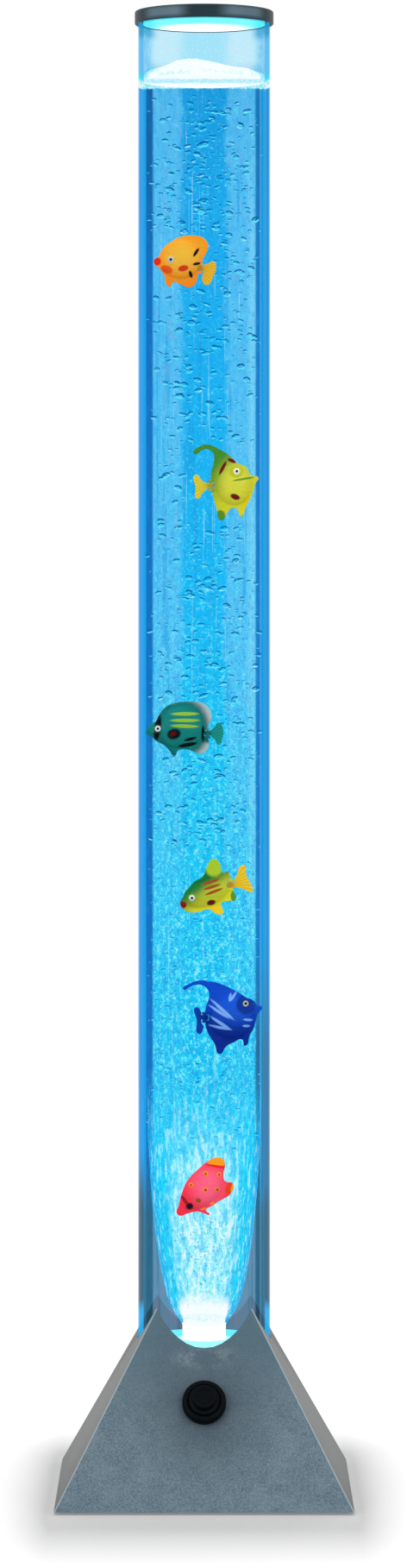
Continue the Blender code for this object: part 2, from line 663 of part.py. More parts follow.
def screw(name, seat_z, place_x, place_y, surface):
    """A pan-head screw driven upwards, with its head under the seat height and a slot across it."""
    head_bottom = -SCREW_HEAD_HEIGHT
    item = turned(
        name,
        [
            (0, SCREW_LENGTH), (SCREW_RADIUS, SCREW_LENGTH - SCREW_RADIUS), (SCREW_RADIUS, 0),
            (SCREW_HEAD_RADIUS, 0), (SCREW_HEAD_RADIUS, head_bottom), (0, head_bottom),
        ],
        surface, TINY_SEGMENTS, None, (place_x, place_y, seat_z),
    )
    slot_size = (4 * SCREW_HEAD_RADIUS, SCREW_SLOT_WIDTH, 2 * SCREW_SLOT_DEPTH)
    slot = box(slot_size, (place_x, place_y, seat_z + head_bottom))
    combine(item, "DIFFERENCE", cutter(name + "_slot", slot))


def fasteners_and_feet():
    """Four feet, four cover screws and four seat screws."""
    rubber = material("black_rubber", (0.015, 0.015, 0.016), 0.85)
    steel = material("screw_steel", (0.55, 0.55, 0.57), 0.30, 1.0)
    for corner, (x, y) in CORNERS.items():
        foot("foot_" + corner, x * FOOT_PLACE, y * FOOT_PLACE, rubber)
        screw("cover_screw_" + corner, FOOT_PROUD + SCREW_HEAD_HEIGHT, x * FOOT_PLACE, y * BOSS_PLACE, steel)
        screw(
            "seat_screw_" + corner, SEAT_BOTTOM_Z - GAP, x * SEAT_SCREW_PLACE, y * SEAT_SCREW_PLACE, steel
        )


def water_tube():
    """The clear tube, its floor with the seal ring, and the seat that carries both from below."""
    clear = material("clear_acrylic", (0.85, 0.95, 1.0), 0.03, 0.0, 0.3)
    turned(
        "acrylic_tube",
        [
            (TUBE_RADIUS, TUBE_TOP_Z), (TUBE_RADIUS, TUBE_BOTTOM_Z),
            (BORE_RADIUS, TUBE_BOTTOM_Z), (BORE_RADIUS, TUBE_TOP_Z),
        ],
        clear, TUBE_SEGMENTS, ring=True,
    )

    edge = BORE_RADIUS - GAP
    seal_z = (FLOOR_TOP_Z + FLOOR_BOTTOM_Z) / 2
    groove_half = SEAL_RADIUS + GAP
    groove_floor = edge - 2 * SEAL_RADIUS - GAP
    hole = STEM_RADIUS + GAP
    turned(
        "tube_floor",
        [
            (edge, FLOOR_TOP_Z), (edge, seal_z + groove_half), (groove_floor, seal_z + groove_half),
            (groove_floor, seal_z - groove_half), (edge, seal_z - groove_half), (edge, FLOOR_BOTTOM_Z),
            (hole, FLOOR_BOTTOM_Z), (hole, FLOOR_TOP_Z),
        ],
        material("clear_floor", (0.8, 0.95, 1.0), 0.05, 0.0, 0.4), ROUND_SEGMENTS, ring=True,
    )
    middle = edge - SEAL_RADIUS
    sides = 6
    section = [
        (
            middle + SEAL_RADIUS * math.sin(2 * math.pi * i / sides),
            seal_z + SEAL_RADIUS * math.cos(2 * math.pi * i / sides),
        )
        for i in range(sides)
    ]
    turned("floor_seal", section, material("seal_rubber", (0.03, 0.03, 0.03), 0.7), ROUND_SEGMENTS, ring=True)

    white = material("white_plastic", (0.80, 0.80, 0.78), 0.5)
    seat_middle = (0, 0, (SEAT_TOP_Z + SEAT_BOTTOM_Z) / 2)
    seat = piece("tube_seat", box((2 * SEAT_HALF, 2 * SEAT_HALF, SEAT_THICKNESS), seat_middle), white)
    ring_top = FLOOR_BOTTOM_Z - GAP
    ring_bottom = SEAT_TOP_Z - SEAT_THICKNESS / 2
    ring_inner = edge - SEAT_RING_WALL
    ring = turned(
        "seat_ring",
        [(edge, ring_top), (edge, ring_bottom), (ring_inner, ring_bottom), (ring_inner, ring_top)],
        None, ROUND_SEGMENTS, ring=True,
    )
    combine(seat, "UNION", ring)
    places = [(x * SEAT_SCREW_PLACE, y * SEAT_SCREW_PLACE) for x, y in CORNERS.values()]
    low, high = SEAT_BOTTOM_Z - OVERRUN, SEAT_TOP_Z + OVERRUN
    holes = cylinders(places, SCREW_RADIUS + GAP, low, high, TINY_SEGMENTS)
    way = cylinders([(0, 0)], SEAT_HOLE_RADIUS, low, high, ROUND_SEGMENTS)
    combine(seat, "DIFFERENCE", cutter("seat_holes", holes))
    combine(seat, "DIFFERENCE", cutter("seat_way", way))


def top_cap():
    """The lid that lifts off: a dark disc whose rim hangs round the tube, and a white plug under it."""
    cap_frame = frame("cap_frame", (0, 0, CAP_BOTTOM_Z))
    outer = TUBE_RADIUS + CAP_OVERHANG
    dark = material("dark_cap", (0.03, 0.045, 0.055), 0.35)
    cap = turned(
        "top_cap",
        [
            (0, CAP_HEIGHT), (outer - CAP_BEVEL, CAP_HEIGHT), (outer, CAP_HEIGHT - CAP_BEVEL),
            (outer, CAP_BEVEL / 2), (outer - CAP_BEVEL / 2, 0), (SLEEVE_BORE, 0), (SLEEVE_BORE, CAP_LIP),
            (0, CAP_LIP),
        ],
        dark, TUBE_SEGMENTS, cap_frame,
    )
    edge = BORE_RADIUS - GAP
    plug_surface = material("cap_plug_white", (0.75, 0.80, 0.82), 0.4)
    plug = turned(
        "cap_plug", [(0, CAP_LIP - GAP), (edge, CAP_LIP - GAP), (edge, 0), (0, 0)],
        plug_surface, TUBE_SEGMENTS, cap_frame,
    )
    circle = BORE_RADIUS * VENT_CIRCLE_SHARE
    turns = [2 * math.pi * i / VENT_COUNT + math.pi / 2 for i in range(VENT_COUNT)]
    places = [(circle * math.cos(turn), circle * math.sin(turn)) for turn in turns]
    vents = cutter(
        "vents", cylinders(places, VENT_RADIUS, -OVERRUN, CAP_HEIGHT + OVERRUN, TINY_SEGMENTS), cap_frame
    )
    combine(cap, "DIFFERENCE", vents)
    combine(plug, "DIFFERENCE", vents)


def air_inlet():
    """The nozzle through the floor, its nut, and the air stone that makes the bubbles."""
    grey = material("nozzle_plastic", (0.10, 0.11, 0.12), 0.5)
    turned(
        "air_nozzle",
        [
            (0, FLANGE_TOP_Z), (NOZZLE_FLANGE_RADIUS, FLANGE_TOP_Z), (NOZZLE_FLANGE_RADIUS, FLANGE_BOTTOM_Z),
            (STEM_RADIUS, FLANGE_BOTTOM_Z), (STEM_RADIUS, STEM_BOTTOM_Z), (BARB_RADIUS, STEM_BOTTOM_Z),
            (BARB_RADIUS, NOZZLE_BOTTOM_Z), (0, NOZZLE_BOTTOM_Z),
        ],
        grey, SMALL_SEGMENTS,
    )
    nut_top = FLOOR_BOTTOM_Z - GAP
    nut_bottom = nut_top - NOZZLE_NUT_HEIGHT
    hole = STEM_RADIUS + GAP
    brass = material("nut_brass", (0.70, 0.55, 0.22), 0.3, 1.0)
    nut = piece(
        "nozzle_nut", cylinders([(0, 0)], NOZZLE_NUT_RADIUS, nut_bottom, nut_top, 6), brass
    )
    way = cutter(
        "nozzle_nut_way", cylinders([(0, 0)], hole, nut_bottom - OVERRUN, nut_top + OVERRUN, SMALL_SEGMENTS)
    )
    combine(nut, "DIFFERENCE", way)
    stone_bottom = FLANGE_TOP_Z + GAP
    stone_top = stone_bottom + STONE_HEIGHT
    turned(
        "air_stone",
        [
            (0, stone_top), (STONE_RADIUS - STONE_BEVEL, stone_top), (STONE_RADIUS, stone_top - STONE_BEVEL),
            (STONE_RADIUS, stone_bottom + STONE_BEVEL), (STONE_RADIUS - STONE_BEVEL, stone_bottom),
            (0, stone_bottom),
        ],
        material("stone_grey", (0.62, 0.66, 0.68), 0.9), ROUND_SEGMENTS,
    )


def lights():
    """The round board on the seat and its lights, which shine up through the clear floor."""
    board_radius = BORE_RADIUS - GAP - SEAT_RING_WALL - LED_BOARD_GAP
    hole = STEM_RADIUS + LED_BOARD_HOLE
    bottom = SEAT_TOP_Z + GAP
    turned(
        "led_board",
        [(board_radius, LED_BOARD_TOP_Z), (board_radius, bottom), (hole, bottom), (hole, LED_BOARD_TOP_Z)],
        material("white_board", (0.85, 0.86, 0.85), 0.4), ROUND_SEGMENTS, ring=True,
    )
    lens = material("led_lens", (0.70, 0.85, 0.95), 0.1)
    arc_steps = 3
    dome = [
        (
            LED_RADIUS * math.sin(math.pi / 2 * i / arc_steps),
            LED_BODY_HEIGHT + LED_RADIUS * math.cos(math.pi / 2 * i / arc_steps),
        )
        for i in range(arc_steps + 1)
    ]
    dome[0] = (0, dome[0][1])
    for number in range(LED_COUNT):
        turn = 2 * math.pi * (number + 0.5) / LED_COUNT
        spot = (LED_CIRCLE_RADIUS * math.cos(turn), LED_CIRCLE_RADIUS * math.sin(turn), LED_BOARD_TOP_Z + GAP)
        turned("led_%d" % (number + 1), dome + [(LED_RADIUS, 0), (0, 0)], lens, TINY_SEGMENTS, None, spot)


def air_pump():
    """The vibrating air pump: case, lid, coil, core, swinging arm with magnet, diaphragm and valve block."""
    floor_z = COVER_TOP_Z + GAP
    case_z = floor_z + PAD_THICKNESS + GAP
    bench = frame("pump_frame", (-PUMP_SIDE, 0, case_z))
    half_length, half_breadth = PUMP_LENGTH / 2, PUMP_WIDTH / 2
    pad_size = (PUMP_LENGTH - 2 * PAD_INSET, PUMP_WIDTH - 2 * PAD_INSET, PAD_THICKNESS)
    pad_middle = (0, 0, -GAP - PAD_THICKNESS / 2)
    piece("pump_pad", box(pad_size, pad_middle), material("grey_foam", (0.12, 0.12, 0.12), 0.95), bench)

    black = material("pump_plastic", (0.03, 0.03, 0.035), 0.5)
    case_height = PUMP_HEIGHT - PUMP_WALL - GAP
    case_size = (PUMP_LENGTH, PUMP_WIDTH, case_height)
    case = piece("pump_case", box(case_size, (0, 0, case_height / 2), PUMP_EDGE_BEVEL), black, bench)
    room_size = (PUMP_LENGTH - 2 * PUMP_WALL, PUMP_WIDTH - 2 * PUMP_WALL, PUMP_HEIGHT)
    room = box(room_size, (0, 0, PUMP_WALL + PUMP_HEIGHT / 2))
    combine(case, "DIFFERENCE", cutter("pump_room", room, bench))
    lid_size = (PUMP_LENGTH, PUMP_WIDTH, PUMP_WALL)
    lid_middle = (0, 0, PUMP_HEIGHT - PUMP_WALL / 2)
    piece("pump_lid", box(lid_size, lid_middle, PUMP_EDGE_BEVEL / 2), black, bench)

    inner_end = half_length - PUMP_WALL - GAP
    core_start = inner_end - CORE_LENGTH
    core_middle = ((core_start + inner_end) / 2, 0, MOVING_HEIGHT)
    core = piece(
        "pump_core", box((CORE_LENGTH, CORE_WIDTH, CORE_HEIGHT), core_middle),
        material("core_iron", (0.25, 0.25, 0.27), 0.45, 1.0), bench,
    )
    slot_width = CORE_WIDTH / 2 - CORE_SIDE_LIMB - CORE_LIMB / 2
    slot_length = CORE_LENGTH - CORE_YOKE + OVERRUN
    slot_x = core_start - OVERRUN + slot_length / 2
    slot_y = CORE_LIMB / 2 + slot_width / 2
    for name, side in (("core_slot_front", -1), ("core_slot_back", 1)):
        slot = box((slot_length, slot_width, 2 * CORE_HEIGHT), (slot_x, side * slot_y, MOVING_HEIGHT))
        combine(core, "DIFFERENCE", cutter(name, slot, bench))

    coil_half = MOVING_HEIGHT - PUMP_WALL - GAP
    coil_middle = (core_start + (CORE_LENGTH - CORE_YOKE) / 2, 0, MOVING_HEIGHT)
    coil_size = (COIL_LENGTH, CORE_LIMB + 2 * slot_width - 2 * COIL_SIDE_GAP, 2 * coil_half)
    coil = piece(
        "pump_coil", box(coil_size, coil_middle, COIL_BEVEL),
        material("copper_winding", (0.72, 0.30, 0.12), 0.35, 1.0), bench,
    )
    coil_way = box((4 * COIL_LENGTH, CORE_LIMB + 2 * GAP, CORE_HEIGHT + 2 * GAP), coil_middle)
    combine(coil, "DIFFERENCE", cutter("coil_way", coil_way, bench))

    pivot_x = -half_length + PUMP_WALL + PIVOT_INSET
    pin_top = MOVING_HEIGHT + ARM_HEIGHT / 2 + GAP
    pin = cutter(
        "pivot_pin", cylinders([(pivot_x, 0)], PIVOT_RADIUS, PUMP_WALL / 2, pin_top, TINY_SEGMENTS), bench
    )
    combine(case, "UNION", pin)
    swing = frame("arm_frame", (pivot_x, 0, MOVING_HEIGHT), (0, 0, 0), bench)
    magnet_end = core_start - MAGNET_TO_CORE - pivot_x
    arm_end = magnet_end - MAGNET_LENGTH - GAP
    steel = material("arm_steel", (0.5, 0.5, 0.52), 0.35, 1.0)
    arm = piece(
        "pump_arm", box((arm_end, ARM_THICKNESS, ARM_HEIGHT), (arm_end / 2, 0, 0)), steel, swing
    )
    eye_outer = PIVOT_RADIUS + GAP + ARM_EYE_WALL
    half_eye = ARM_HEIGHT / 2 + GAP
    eye = cutter("arm_eye", cylinders([(0, 0)], eye_outer, -half_eye, half_eye, SMALL_SEGMENTS), swing)
    eye_way = cutter(
        "arm_eye_way", cylinders([(0, 0)], PIVOT_RADIUS + GAP, -ARM_HEIGHT, ARM_HEIGHT, TINY_SEGMENTS), swing
    )
    combine(arm, "UNION", eye)
    combine(arm, "DIFFERENCE", eye_way)
    magnet_middle = (magnet_end - MAGNET_LENGTH / 2, 0, 0)
    piece(
        "pump_magnet", box((MAGNET_LENGTH, MAGNET_WIDTH, ARM_HEIGHT), magnet_middle),
        material("magnet_nickel", (0.35, 0.36, 0.38), 0.25, 1.0), swing,
    )

    block_back = half_breadth - PUMP_WALL - GAP
    block_front = block_back - VALVE_BLOCK_THICKNESS
    pump_x = pivot_x + arm_end * DIAPHRAGM_PLACE_SHARE
    block_low = PUMP_WALL + GAP
    block_high = case_height - VALVE_BLOCK_MARGIN
    block = piece(
        "pump_valve_block",
        box(
            (VALVE_BLOCK_WIDTH, VALVE_BLOCK_THICKNESS, block_high - block_low),
            (pump_x, (block_back + block_front) / 2, (block_low + block_high) / 2),
        ),
        material("valve_plastic", (0.55, 0.55, 0.52), 0.5), bench,
    )
    outlet_start = block_back - VALVE_BLOCK_THICKNESS / 2
    outlet_end = half_breadth + OUTLET_LENGTH
    outlet = cutter(
        "outlet", cylinders([(0, 0)], BARB_RADIUS, 0, outlet_end - outlet_start, TINY_SEGMENTS),
        bench, (pump_x, outlet_start, MOVING_HEIGHT), (-math.pi / 2, 0, 0),
    )
    combine(block, "UNION", outlet)
    outlet_way = cutter(
        "outlet_way", cylinders([(0, 0)], BARB_RADIUS + GAP, 0, outlet_end - outlet_start, TINY_SEGMENTS),
        bench, (pump_x, outlet_start, MOVING_HEIGHT), (-math.pi / 2, 0, 0),
    )
    combine(case, "DIFFERENCE", outlet_way)

    diaphragm_start = ARM_THICKNESS / 2 + GAP
    depth = block_front - GAP - diaphragm_start
    turned(
        "pump_diaphragm",
        [
            (0, depth), (DIAPHRAGM_RADIUS, depth), (DIAPHRAGM_RADIUS, depth - DIAPHRAGM_RIM),
            (DIAPHRAGM_NECK_RADIUS, DIAPHRAGM_RIM), (DIAPHRAGM_NECK_RADIUS, 0), (0, 0),
        ],
        material("diaphragm_rubber", (0.02, 0.02, 0.02), 0.8), SMALL_SEGMENTS, bench,
        (pump_x, diaphragm_start, MOVING_HEIGHT), (-math.pi / 2, 0, 0),
    )
    return Vector((pump_x - PUMP_SIDE, outlet_end, case_z + MOVING_HEIGHT))


def air_line(outlet):
    """The hose from the pump, the check valve and the hose to the nozzle."""
    half = CHECK_VALVE_LENGTH / 2
    reach = half + BARB_LENGTH
    valve_at = Vector((-CHECK_VALVE_SIDE, outlet.y + CHECK_VALVE_BACK, outlet.z))
    turned(
        "check_valve",
        [
            (0, reach), (BARB_RADIUS, reach), (BARB_RADIUS, half), (CHECK_VALVE_RADIUS, half),
            (CHECK_VALVE_RADIUS, -half), (BARB_RADIUS, -half), (BARB_RADIUS, -reach), (0, -reach),
        ],
        material("valve_white", (0.75, 0.75, 0.72), 0.4), SMALL_SEGMENTS, None, valve_at, (0, math.pi / 2, 0),
    )
    silicone = material("silicone_hose", (0.60, 0.64, 0.62), 0.35, 0.0, 0.7)
    ways = {"back": (0, 1, 0), "right": (1, 0, 0), "up": (0, 0, 1)}
    pump_end = outlet + Vector((0, GAP, 0))
    valve_in = valve_at - Vector((reach + GAP, 0, 0))
    valve_out = valve_at + Vector((reach + GAP, 0, 0))
    nozzle_end = (0, 0, NOZZLE_BOTTOM_Z - GAP)
    share = HOSE_REACH_SHARE
    first = bend(pump_end, ways["back"], valve_in, ways["right"], share, HOSE_POINTS)
    second = bend(valve_out, ways["right"], nozzle_end, ways["up"], share, HOSE_POINTS)
    round_line("air_hose_pump", first, HOSE_RADIUS, silicone)
    round_line("air_hose_nozzle", second, HOSE_RADIUS, silicone)


def control_board():
    """The control board on its standoffs, and the wires from the jack, the switch and the lights."""
    green = material("board_green", (0.02, 0.16, 0.07), 0.4)
    middle = (BOARD_SIDE, -BOARD_FORWARD, (BOARD_BOTTOM_Z + BOARD_TOP_Z) / 2)
    piece("control_board", box((BOARD_LENGTH, BOARD_WIDTH, BOARD_THICKNESS), middle), green)
    wire_end_z = BOARD_TOP_Z + GAP
    down = (0, 0, -1)
    front_y = -BOARD_FORWARD - BOARD_WIDTH / 4
    back_y = -BOARD_FORWARD + BOARD_WIDTH / 4
    share = WIRE_REACH_SHARE
    jack_back = RECESS_Y - BASE_WALL - JACK_BODY_LENGTH
    jack_start = (JACK_SIDE, jack_back - GAP, JACK_HEIGHT)
    jack_wire = bend(jack_start, (0, -1, 0), (BOARD_SIDE, back_y, wire_end_z), down, share, WIRE_POINTS)
    inward = Vector((0, math.sin(FACE_ANGLE), -math.cos(FACE_ANGLE)))
    switch_depth = BASE_WALL + SWITCH_BODY_LENGTH + 2 * GAP
    switch_back = Vector((0, -half_width(BUTTON_Z), BUTTON_Z)) + inward * switch_depth
    switch_end = (BOARD_SIDE + BOARD_LENGTH / 4, front_y, wire_end_z)
    switch_wire = bend(switch_back, inward, switch_end, down, share, WIRE_POINTS)
    led_start = (0, -LED_WIRE_RADIUS, SEAT_TOP_Z)
    led_end = (BOARD_SIDE - BOARD_LENGTH / 4, -BOARD_FORWARD, wire_end_z)
    led_wire = bend(led_start, down, led_end, down, share, WIRE_POINTS)
    for name, points, colour in (
        ("jack_wire", jack_wire, (0.35, 0.01, 0.01)),
        ("switch_wire", switch_wire, (0.02, 0.02, 0.02)),
        ("led_wire", led_wire, (0.7, 0.7, 0.7)),
    ):
        round_line(name, points, WIRE_RADIUS, material(name + "_sleeve", colour, 0.5), None, 1)


def push_button(shell):
    """The button on the front face, its bezel, spring and switch, built square to the sloping face."""
    face = frame("button_frame", (0, -half_width(BUTTON_Z), BUTTON_Z), (FACE_ANGLE, 0, 0))
    hole = cylinders([(0, 0)], SWITCH_NECK_RADIUS + GAP, -BASE_WALL - OVERRUN, OVERRUN, ROUND_SEGMENTS)
    combine(shell, "DIFFERENCE", cutter("button_way", hole, face))

    black = material("black_button", (0.008, 0.010, 0.012), 0.4)
    cup = BUTTON_RADIUS + GAP
    neck_room = SWITCH_NECK_RADIUS + GAP
    turned(
        "button_bezel",
        [
            (BEZEL_RADIUS - BEZEL_ROUND, BEZEL_HEIGHT),
            (BEZEL_RADIUS - BEZEL_ROUND / 4, BEZEL_HEIGHT - BEZEL_ROUND / 3),
            (BEZEL_RADIUS, BEZEL_HEIGHT - BEZEL_ROUND), (BEZEL_RADIUS, GAP), (neck_room, GAP),
            (neck_room, BEZEL_FLOOR), (cup, BEZEL_FLOOR), (cup, BEZEL_HEIGHT),
        ],
        black, ROUND_SEGMENTS, face, ring=True,
    )
    switch_top = -BASE_WALL - GAP
    switch_bottom = switch_top - SWITCH_BODY_LENGTH
    neck_top = BEZEL_FLOOR - GAP
    bore = BUTTON_STEM_RADIUS + GAP
    bore_bottom = neck_top - SWITCH_BORE_DEPTH
    turned(
        "switch_body",
        [
            (0, bore_bottom), (bore, bore_bottom), (bore, neck_top), (SWITCH_NECK_RADIUS, neck_top),
            (SWITCH_NECK_RADIUS, switch_top), (SWITCH_BODY_RADIUS, switch_top),
            (SWITCH_BODY_RADIUS, switch_bottom), (0, switch_bottom),
        ],
        material("switch_plastic", (0.12, 0.12, 0.13), 0.5), SMALL_SEGMENTS, face,
    )

    rest_z = BEZEL_FLOOR + BUTTON_TRAVEL + BUTTON_REST
    cap_frame = frame("button_cap_frame", (0, 0, rest_z), (0, 0, 0), face)
    top = BUTTON_TOP_HEIGHT
    turned(
        "button_cap",
        [
            (0, top - BUTTON_DISH_DEPTH), (BUTTON_DISH_RADIUS - BUTTON_DISH_DEPTH, top - BUTTON_DISH_DEPTH),
            (BUTTON_DISH_RADIUS, top), (BUTTON_TOP_RADIUS - BUTTON_DISH_DEPTH / 2, top),
            (BUTTON_TOP_RADIUS, top - BUTTON_DISH_DEPTH / 2), (BUTTON_TOP_RADIUS, BUTTON_SHOULDER),
            (BUTTON_RADIUS, BUTTON_SHOULDER - BUTTON_DISH_DEPTH), (BUTTON_RADIUS, 0), (BUTTON_STEM_RADIUS, 0),
            (BUTTON_STEM_RADIUS, -BUTTON_STEM_LENGTH), (0, -BUTTON_STEM_LENGTH),
        ],
        black, ROUND_SEGMENTS, cap_frame,
    )
    low = neck_top + GAP + SPRING_WIRE_RADIUS
    high = rest_z - GAP - SPRING_WIRE_RADIUS
    count = SPRING_TURNS * SPRING_TURN_POINTS
    points = []
    for step in range(count + 1):
        turn = 2 * math.pi * step / SPRING_TURN_POINTS
        height = low + (high - low) * step / count
        points.append((SPRING_RADIUS * math.cos(turn), SPRING_RADIUS * math.sin(turn), height))
    steel = material("spring_steel", (0.6, 0.6, 0.62), 0.3, 1.0)
    round_line("button_spring", points, SPRING_WIRE_RADIUS, steel, face, 1)


def power_jack():
    """The low-voltage socket in the recess at the back, and the nut that holds it from inside."""
    spot = frame("jack_frame", (JACK_SIDE, RECESS_Y, JACK_HEIGHT), (-math.pi / 2, 0, 0))
    flange_top = GAP + JACK_FLANGE_THICKNESS
    bottom = -BASE_WALL - JACK_BODY_LENGTH
    bore_bottom = flange_top - JACK_BORE_DEPTH
    pin_top = bore_bottom + JACK_PIN_LENGTH
    turned(
        "dc_jack",
        [
            (0, pin_top), (JACK_PIN_RADIUS, pin_top), (JACK_PIN_RADIUS, bore_bottom),
            (JACK_BORE_RADIUS, bore_bottom), (JACK_BORE_RADIUS, flange_top), (JACK_FLANGE_RADIUS, flange_top),
            (JACK_FLANGE_RADIUS, GAP), (JACK_RADIUS, GAP), (JACK_RADIUS, bottom), (0, bottom),
        ],
        material("jack_black", (0.02, 0.02, 0.02), 0.45), ROUND_SEGMENTS, spot,
    )
    nut_top = -BASE_WALL - GAP
    hole = JACK_RADIUS + GAP
    turned(
        "jack_nut",
        [
            (JACK_NUT_RADIUS, nut_top), (JACK_NUT_RADIUS, nut_top - JACK_NUT_THICKNESS),
            (hole, nut_top - JACK_NUT_THICKNESS), (hole, nut_top),
        ],
        material("jack_nut_steel", (0.5, 0.5, 0.52), 0.3, 1.0), SMALL_SEGMENTS, spot, ring=True,
    )


def fish(name, facts):
    """One floating fish: thick body with thin fins, and a tail that swings on a pin between two lugs."""
    length, height = facts["length"], facts["height"]
    centre_x = facts["side"] * (BORE_RADIUS - facts["wall_gap"] - length / 2)
    centre_z = FLOOR_TOP_Z + WATER_DEPTH * facts["height_share"]
    water = frame(name + "_frame", (centre_x, 0, centre_z))
    points = [(x * length, z * height) for x, z in facts["outline_shares"]]
    skin = material(name + "_skin", facts["colour"], 0.35)
    body = piece(name + "_body", outline_plate(points, FIN_THICKNESS), skin, water)
    core_x, core_z, core_half_x, core_half_z = facts["core_shares"]
    shape = bmesh.new()
    half_size = (core_half_x * length, BODY_THICKNESS_SHARE / 2 * length, core_half_z * height)
    lean = Matrix.Rotation(-facts["lean"], 4, "Y")
    middle = Matrix.Translation((core_x * length, 0, core_z * height))
    matrix = middle @ lean @ Matrix.Diagonal((*half_size, 1.0))
    bmesh.ops.create_uvsphere(
        shape, u_segments=SMALL_SEGMENTS, v_segments=SMALL_SEGMENTS // 2, radius=1.0, matrix=matrix
    )
    combine(body, "UNION", cutter(name + "_core", finish_mesh(shape, True), water))
    eye_x, eye_z = facts["eye_shares"]
    eye = Vector((eye_x * length, 0, eye_z * height))
    off_middle = min(1.0, (matrix.inverted() @ eye).length)
    eye.y = max(FIN_THICKNESS / 2, half_size[1] * math.sqrt(1 - off_middle**2)) - EYE_SINK
    eyes = bmesh.new()
    for side in (-1, 1):
        spot = Matrix.Translation((eye.x, side * eye.y, eye.z))
        bmesh.ops.create_uvsphere(
            eyes, u_segments=TINY_SEGMENTS, v_segments=TINY_SEGMENTS // 2, radius=EYE_RADIUS, matrix=spot
        )
    combine(body, "UNION", cutter(name + "_eyes", finish_mesh(eyes, True), water))
    if not facts["pin_shares"]:
        return

    pin_x, pin_z = facts["pin_shares"]
    hinge = frame(name + "_tail_frame", (pin_x * length, 0, pin_z * height), (0, 0, 0), water)
    half_knuckle = KNUCKLE_HEIGHT / 2
    half_pocket = half_knuckle + GAP
    half_lug = half_pocket + LUG_HEIGHT
    half_way = half_lug + LUG_HEIGHT
    lugs = cutter(
        name + "_lugs", cylinders([(0, 0)], LUG_RADIUS, -half_lug, half_lug, TINY_SEGMENTS), hinge
    )
    pocket = cutter(
        name + "_pocket", cylinders([(0, 0)], POCKET_RADIUS, -half_pocket, half_pocket, TINY_SEGMENTS), hinge
    )
    pin_hole = cylinders([(0, 0)], TAIL_PIN_RADIUS + GAP, -half_way, half_way, TINY_SEGMENTS)
    pin_way = cutter(name + "_pin_way", pin_hole, hinge)
    combine(body, "UNION", lugs)
    combine(body, "DIFFERENCE", pocket)
    combine(body, "DIFFERENCE", pin_way)

    way = math.copysign(1, pin_x)
    fan = [(x * length, z * length) for x, z in facts["tail_shares"]]
    stem_end = way * TAIL_STEM_LENGTH
    stem = TAIL_STEM_HALF_HEIGHT
    outline = [(0, stem), (stem_end, stem)] + fan + [(stem_end, -stem), (0, -stem)]
    tail_skin = material(name + "_tail_skin", facts["tail_colour"], 0.3)
    tail = piece(name + "_tail", outline_plate(outline, TAIL_THICKNESS), tail_skin, hinge)
    knuckle = cylinders([(0, 0)], KNUCKLE_RADIUS, -half_knuckle, half_knuckle, TINY_SEGMENTS)
    pin = cylinders([(0, 0)], TAIL_PIN_RADIUS, -half_lug, half_lug, TINY_SEGMENTS)
    combine(tail, "UNION", cutter(name + "_knuckle", knuckle, hinge))
    combine(tail, "UNION", cutter(name + "_pin", pin, hinge))


def build_lamp():
    """Every piece of the lamp, from the ground up."""
    shell = base_shell()
    bottom_cover()
    fasteners_and_feet()
    water_tube()
    top_cap()
    air_inlet()
    lights()
    outlet = air_pump()
    air_line(outlet)
    control_board()
    push_button(shell)
    power_jack()
    for name, facts in FISH.items():
        fish(name, facts)


build_lamp()
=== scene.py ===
"""Looks of the bubble fish lamp: the glowing water tube, its fish and bubbles, and the painted base."""

import math
import random
from contextlib import contextmanager

import bmesh
import bpy
from mathutils import Matrix, Vector


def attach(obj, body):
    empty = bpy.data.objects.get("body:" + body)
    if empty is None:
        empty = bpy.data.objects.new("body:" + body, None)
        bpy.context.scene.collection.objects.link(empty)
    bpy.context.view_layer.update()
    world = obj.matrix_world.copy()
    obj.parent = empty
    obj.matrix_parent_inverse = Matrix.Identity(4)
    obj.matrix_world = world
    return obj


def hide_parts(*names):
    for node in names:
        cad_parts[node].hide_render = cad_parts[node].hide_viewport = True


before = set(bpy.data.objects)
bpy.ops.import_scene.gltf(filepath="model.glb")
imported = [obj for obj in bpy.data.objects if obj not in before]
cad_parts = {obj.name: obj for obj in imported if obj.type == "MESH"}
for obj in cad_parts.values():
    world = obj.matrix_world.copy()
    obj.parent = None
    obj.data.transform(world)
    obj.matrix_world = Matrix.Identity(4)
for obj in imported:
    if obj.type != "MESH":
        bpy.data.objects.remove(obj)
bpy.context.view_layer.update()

# Camera, as in the photograph
CAMERA_PLACE = (0, -2.9387, 0.5411)
CAMERA_LENS = 111.87
CAMERA_SENSOR = 36
CAMERA_SHIFT = (0.0015, -0.1235)

# Sizes of the lamp that the pieces share, in metres
GAP = 0.0003
TUBE_RADIUS = 0.04
BORE_RADIUS = 0.037
TUBE_BOTTOM = 0.0658
TUBE_TOP = 0.8848
TUBE_MIDDLE = (TUBE_BOTTOM + TUBE_TOP) / 2
FLOOR_TOP = 0.0904
WATER_TOP = 0.848
CAP_BOTTOM = 0.8821
CAP_RADIUS = 0.0419
CAP_HEIGHT = 0.008
CAP_LIP = 0.003
CAP_TOP = CAP_BOTTOM + CAP_HEIGHT
VENTS = 3
VENT_RADIUS = 0.0015
VENT_RING_RADIUS = 0.01665
FACE_PLACE = (0, -0.0567, 0.059892)
FACE_ANGLE = 1.076763
BASE_HALF = 0.08815

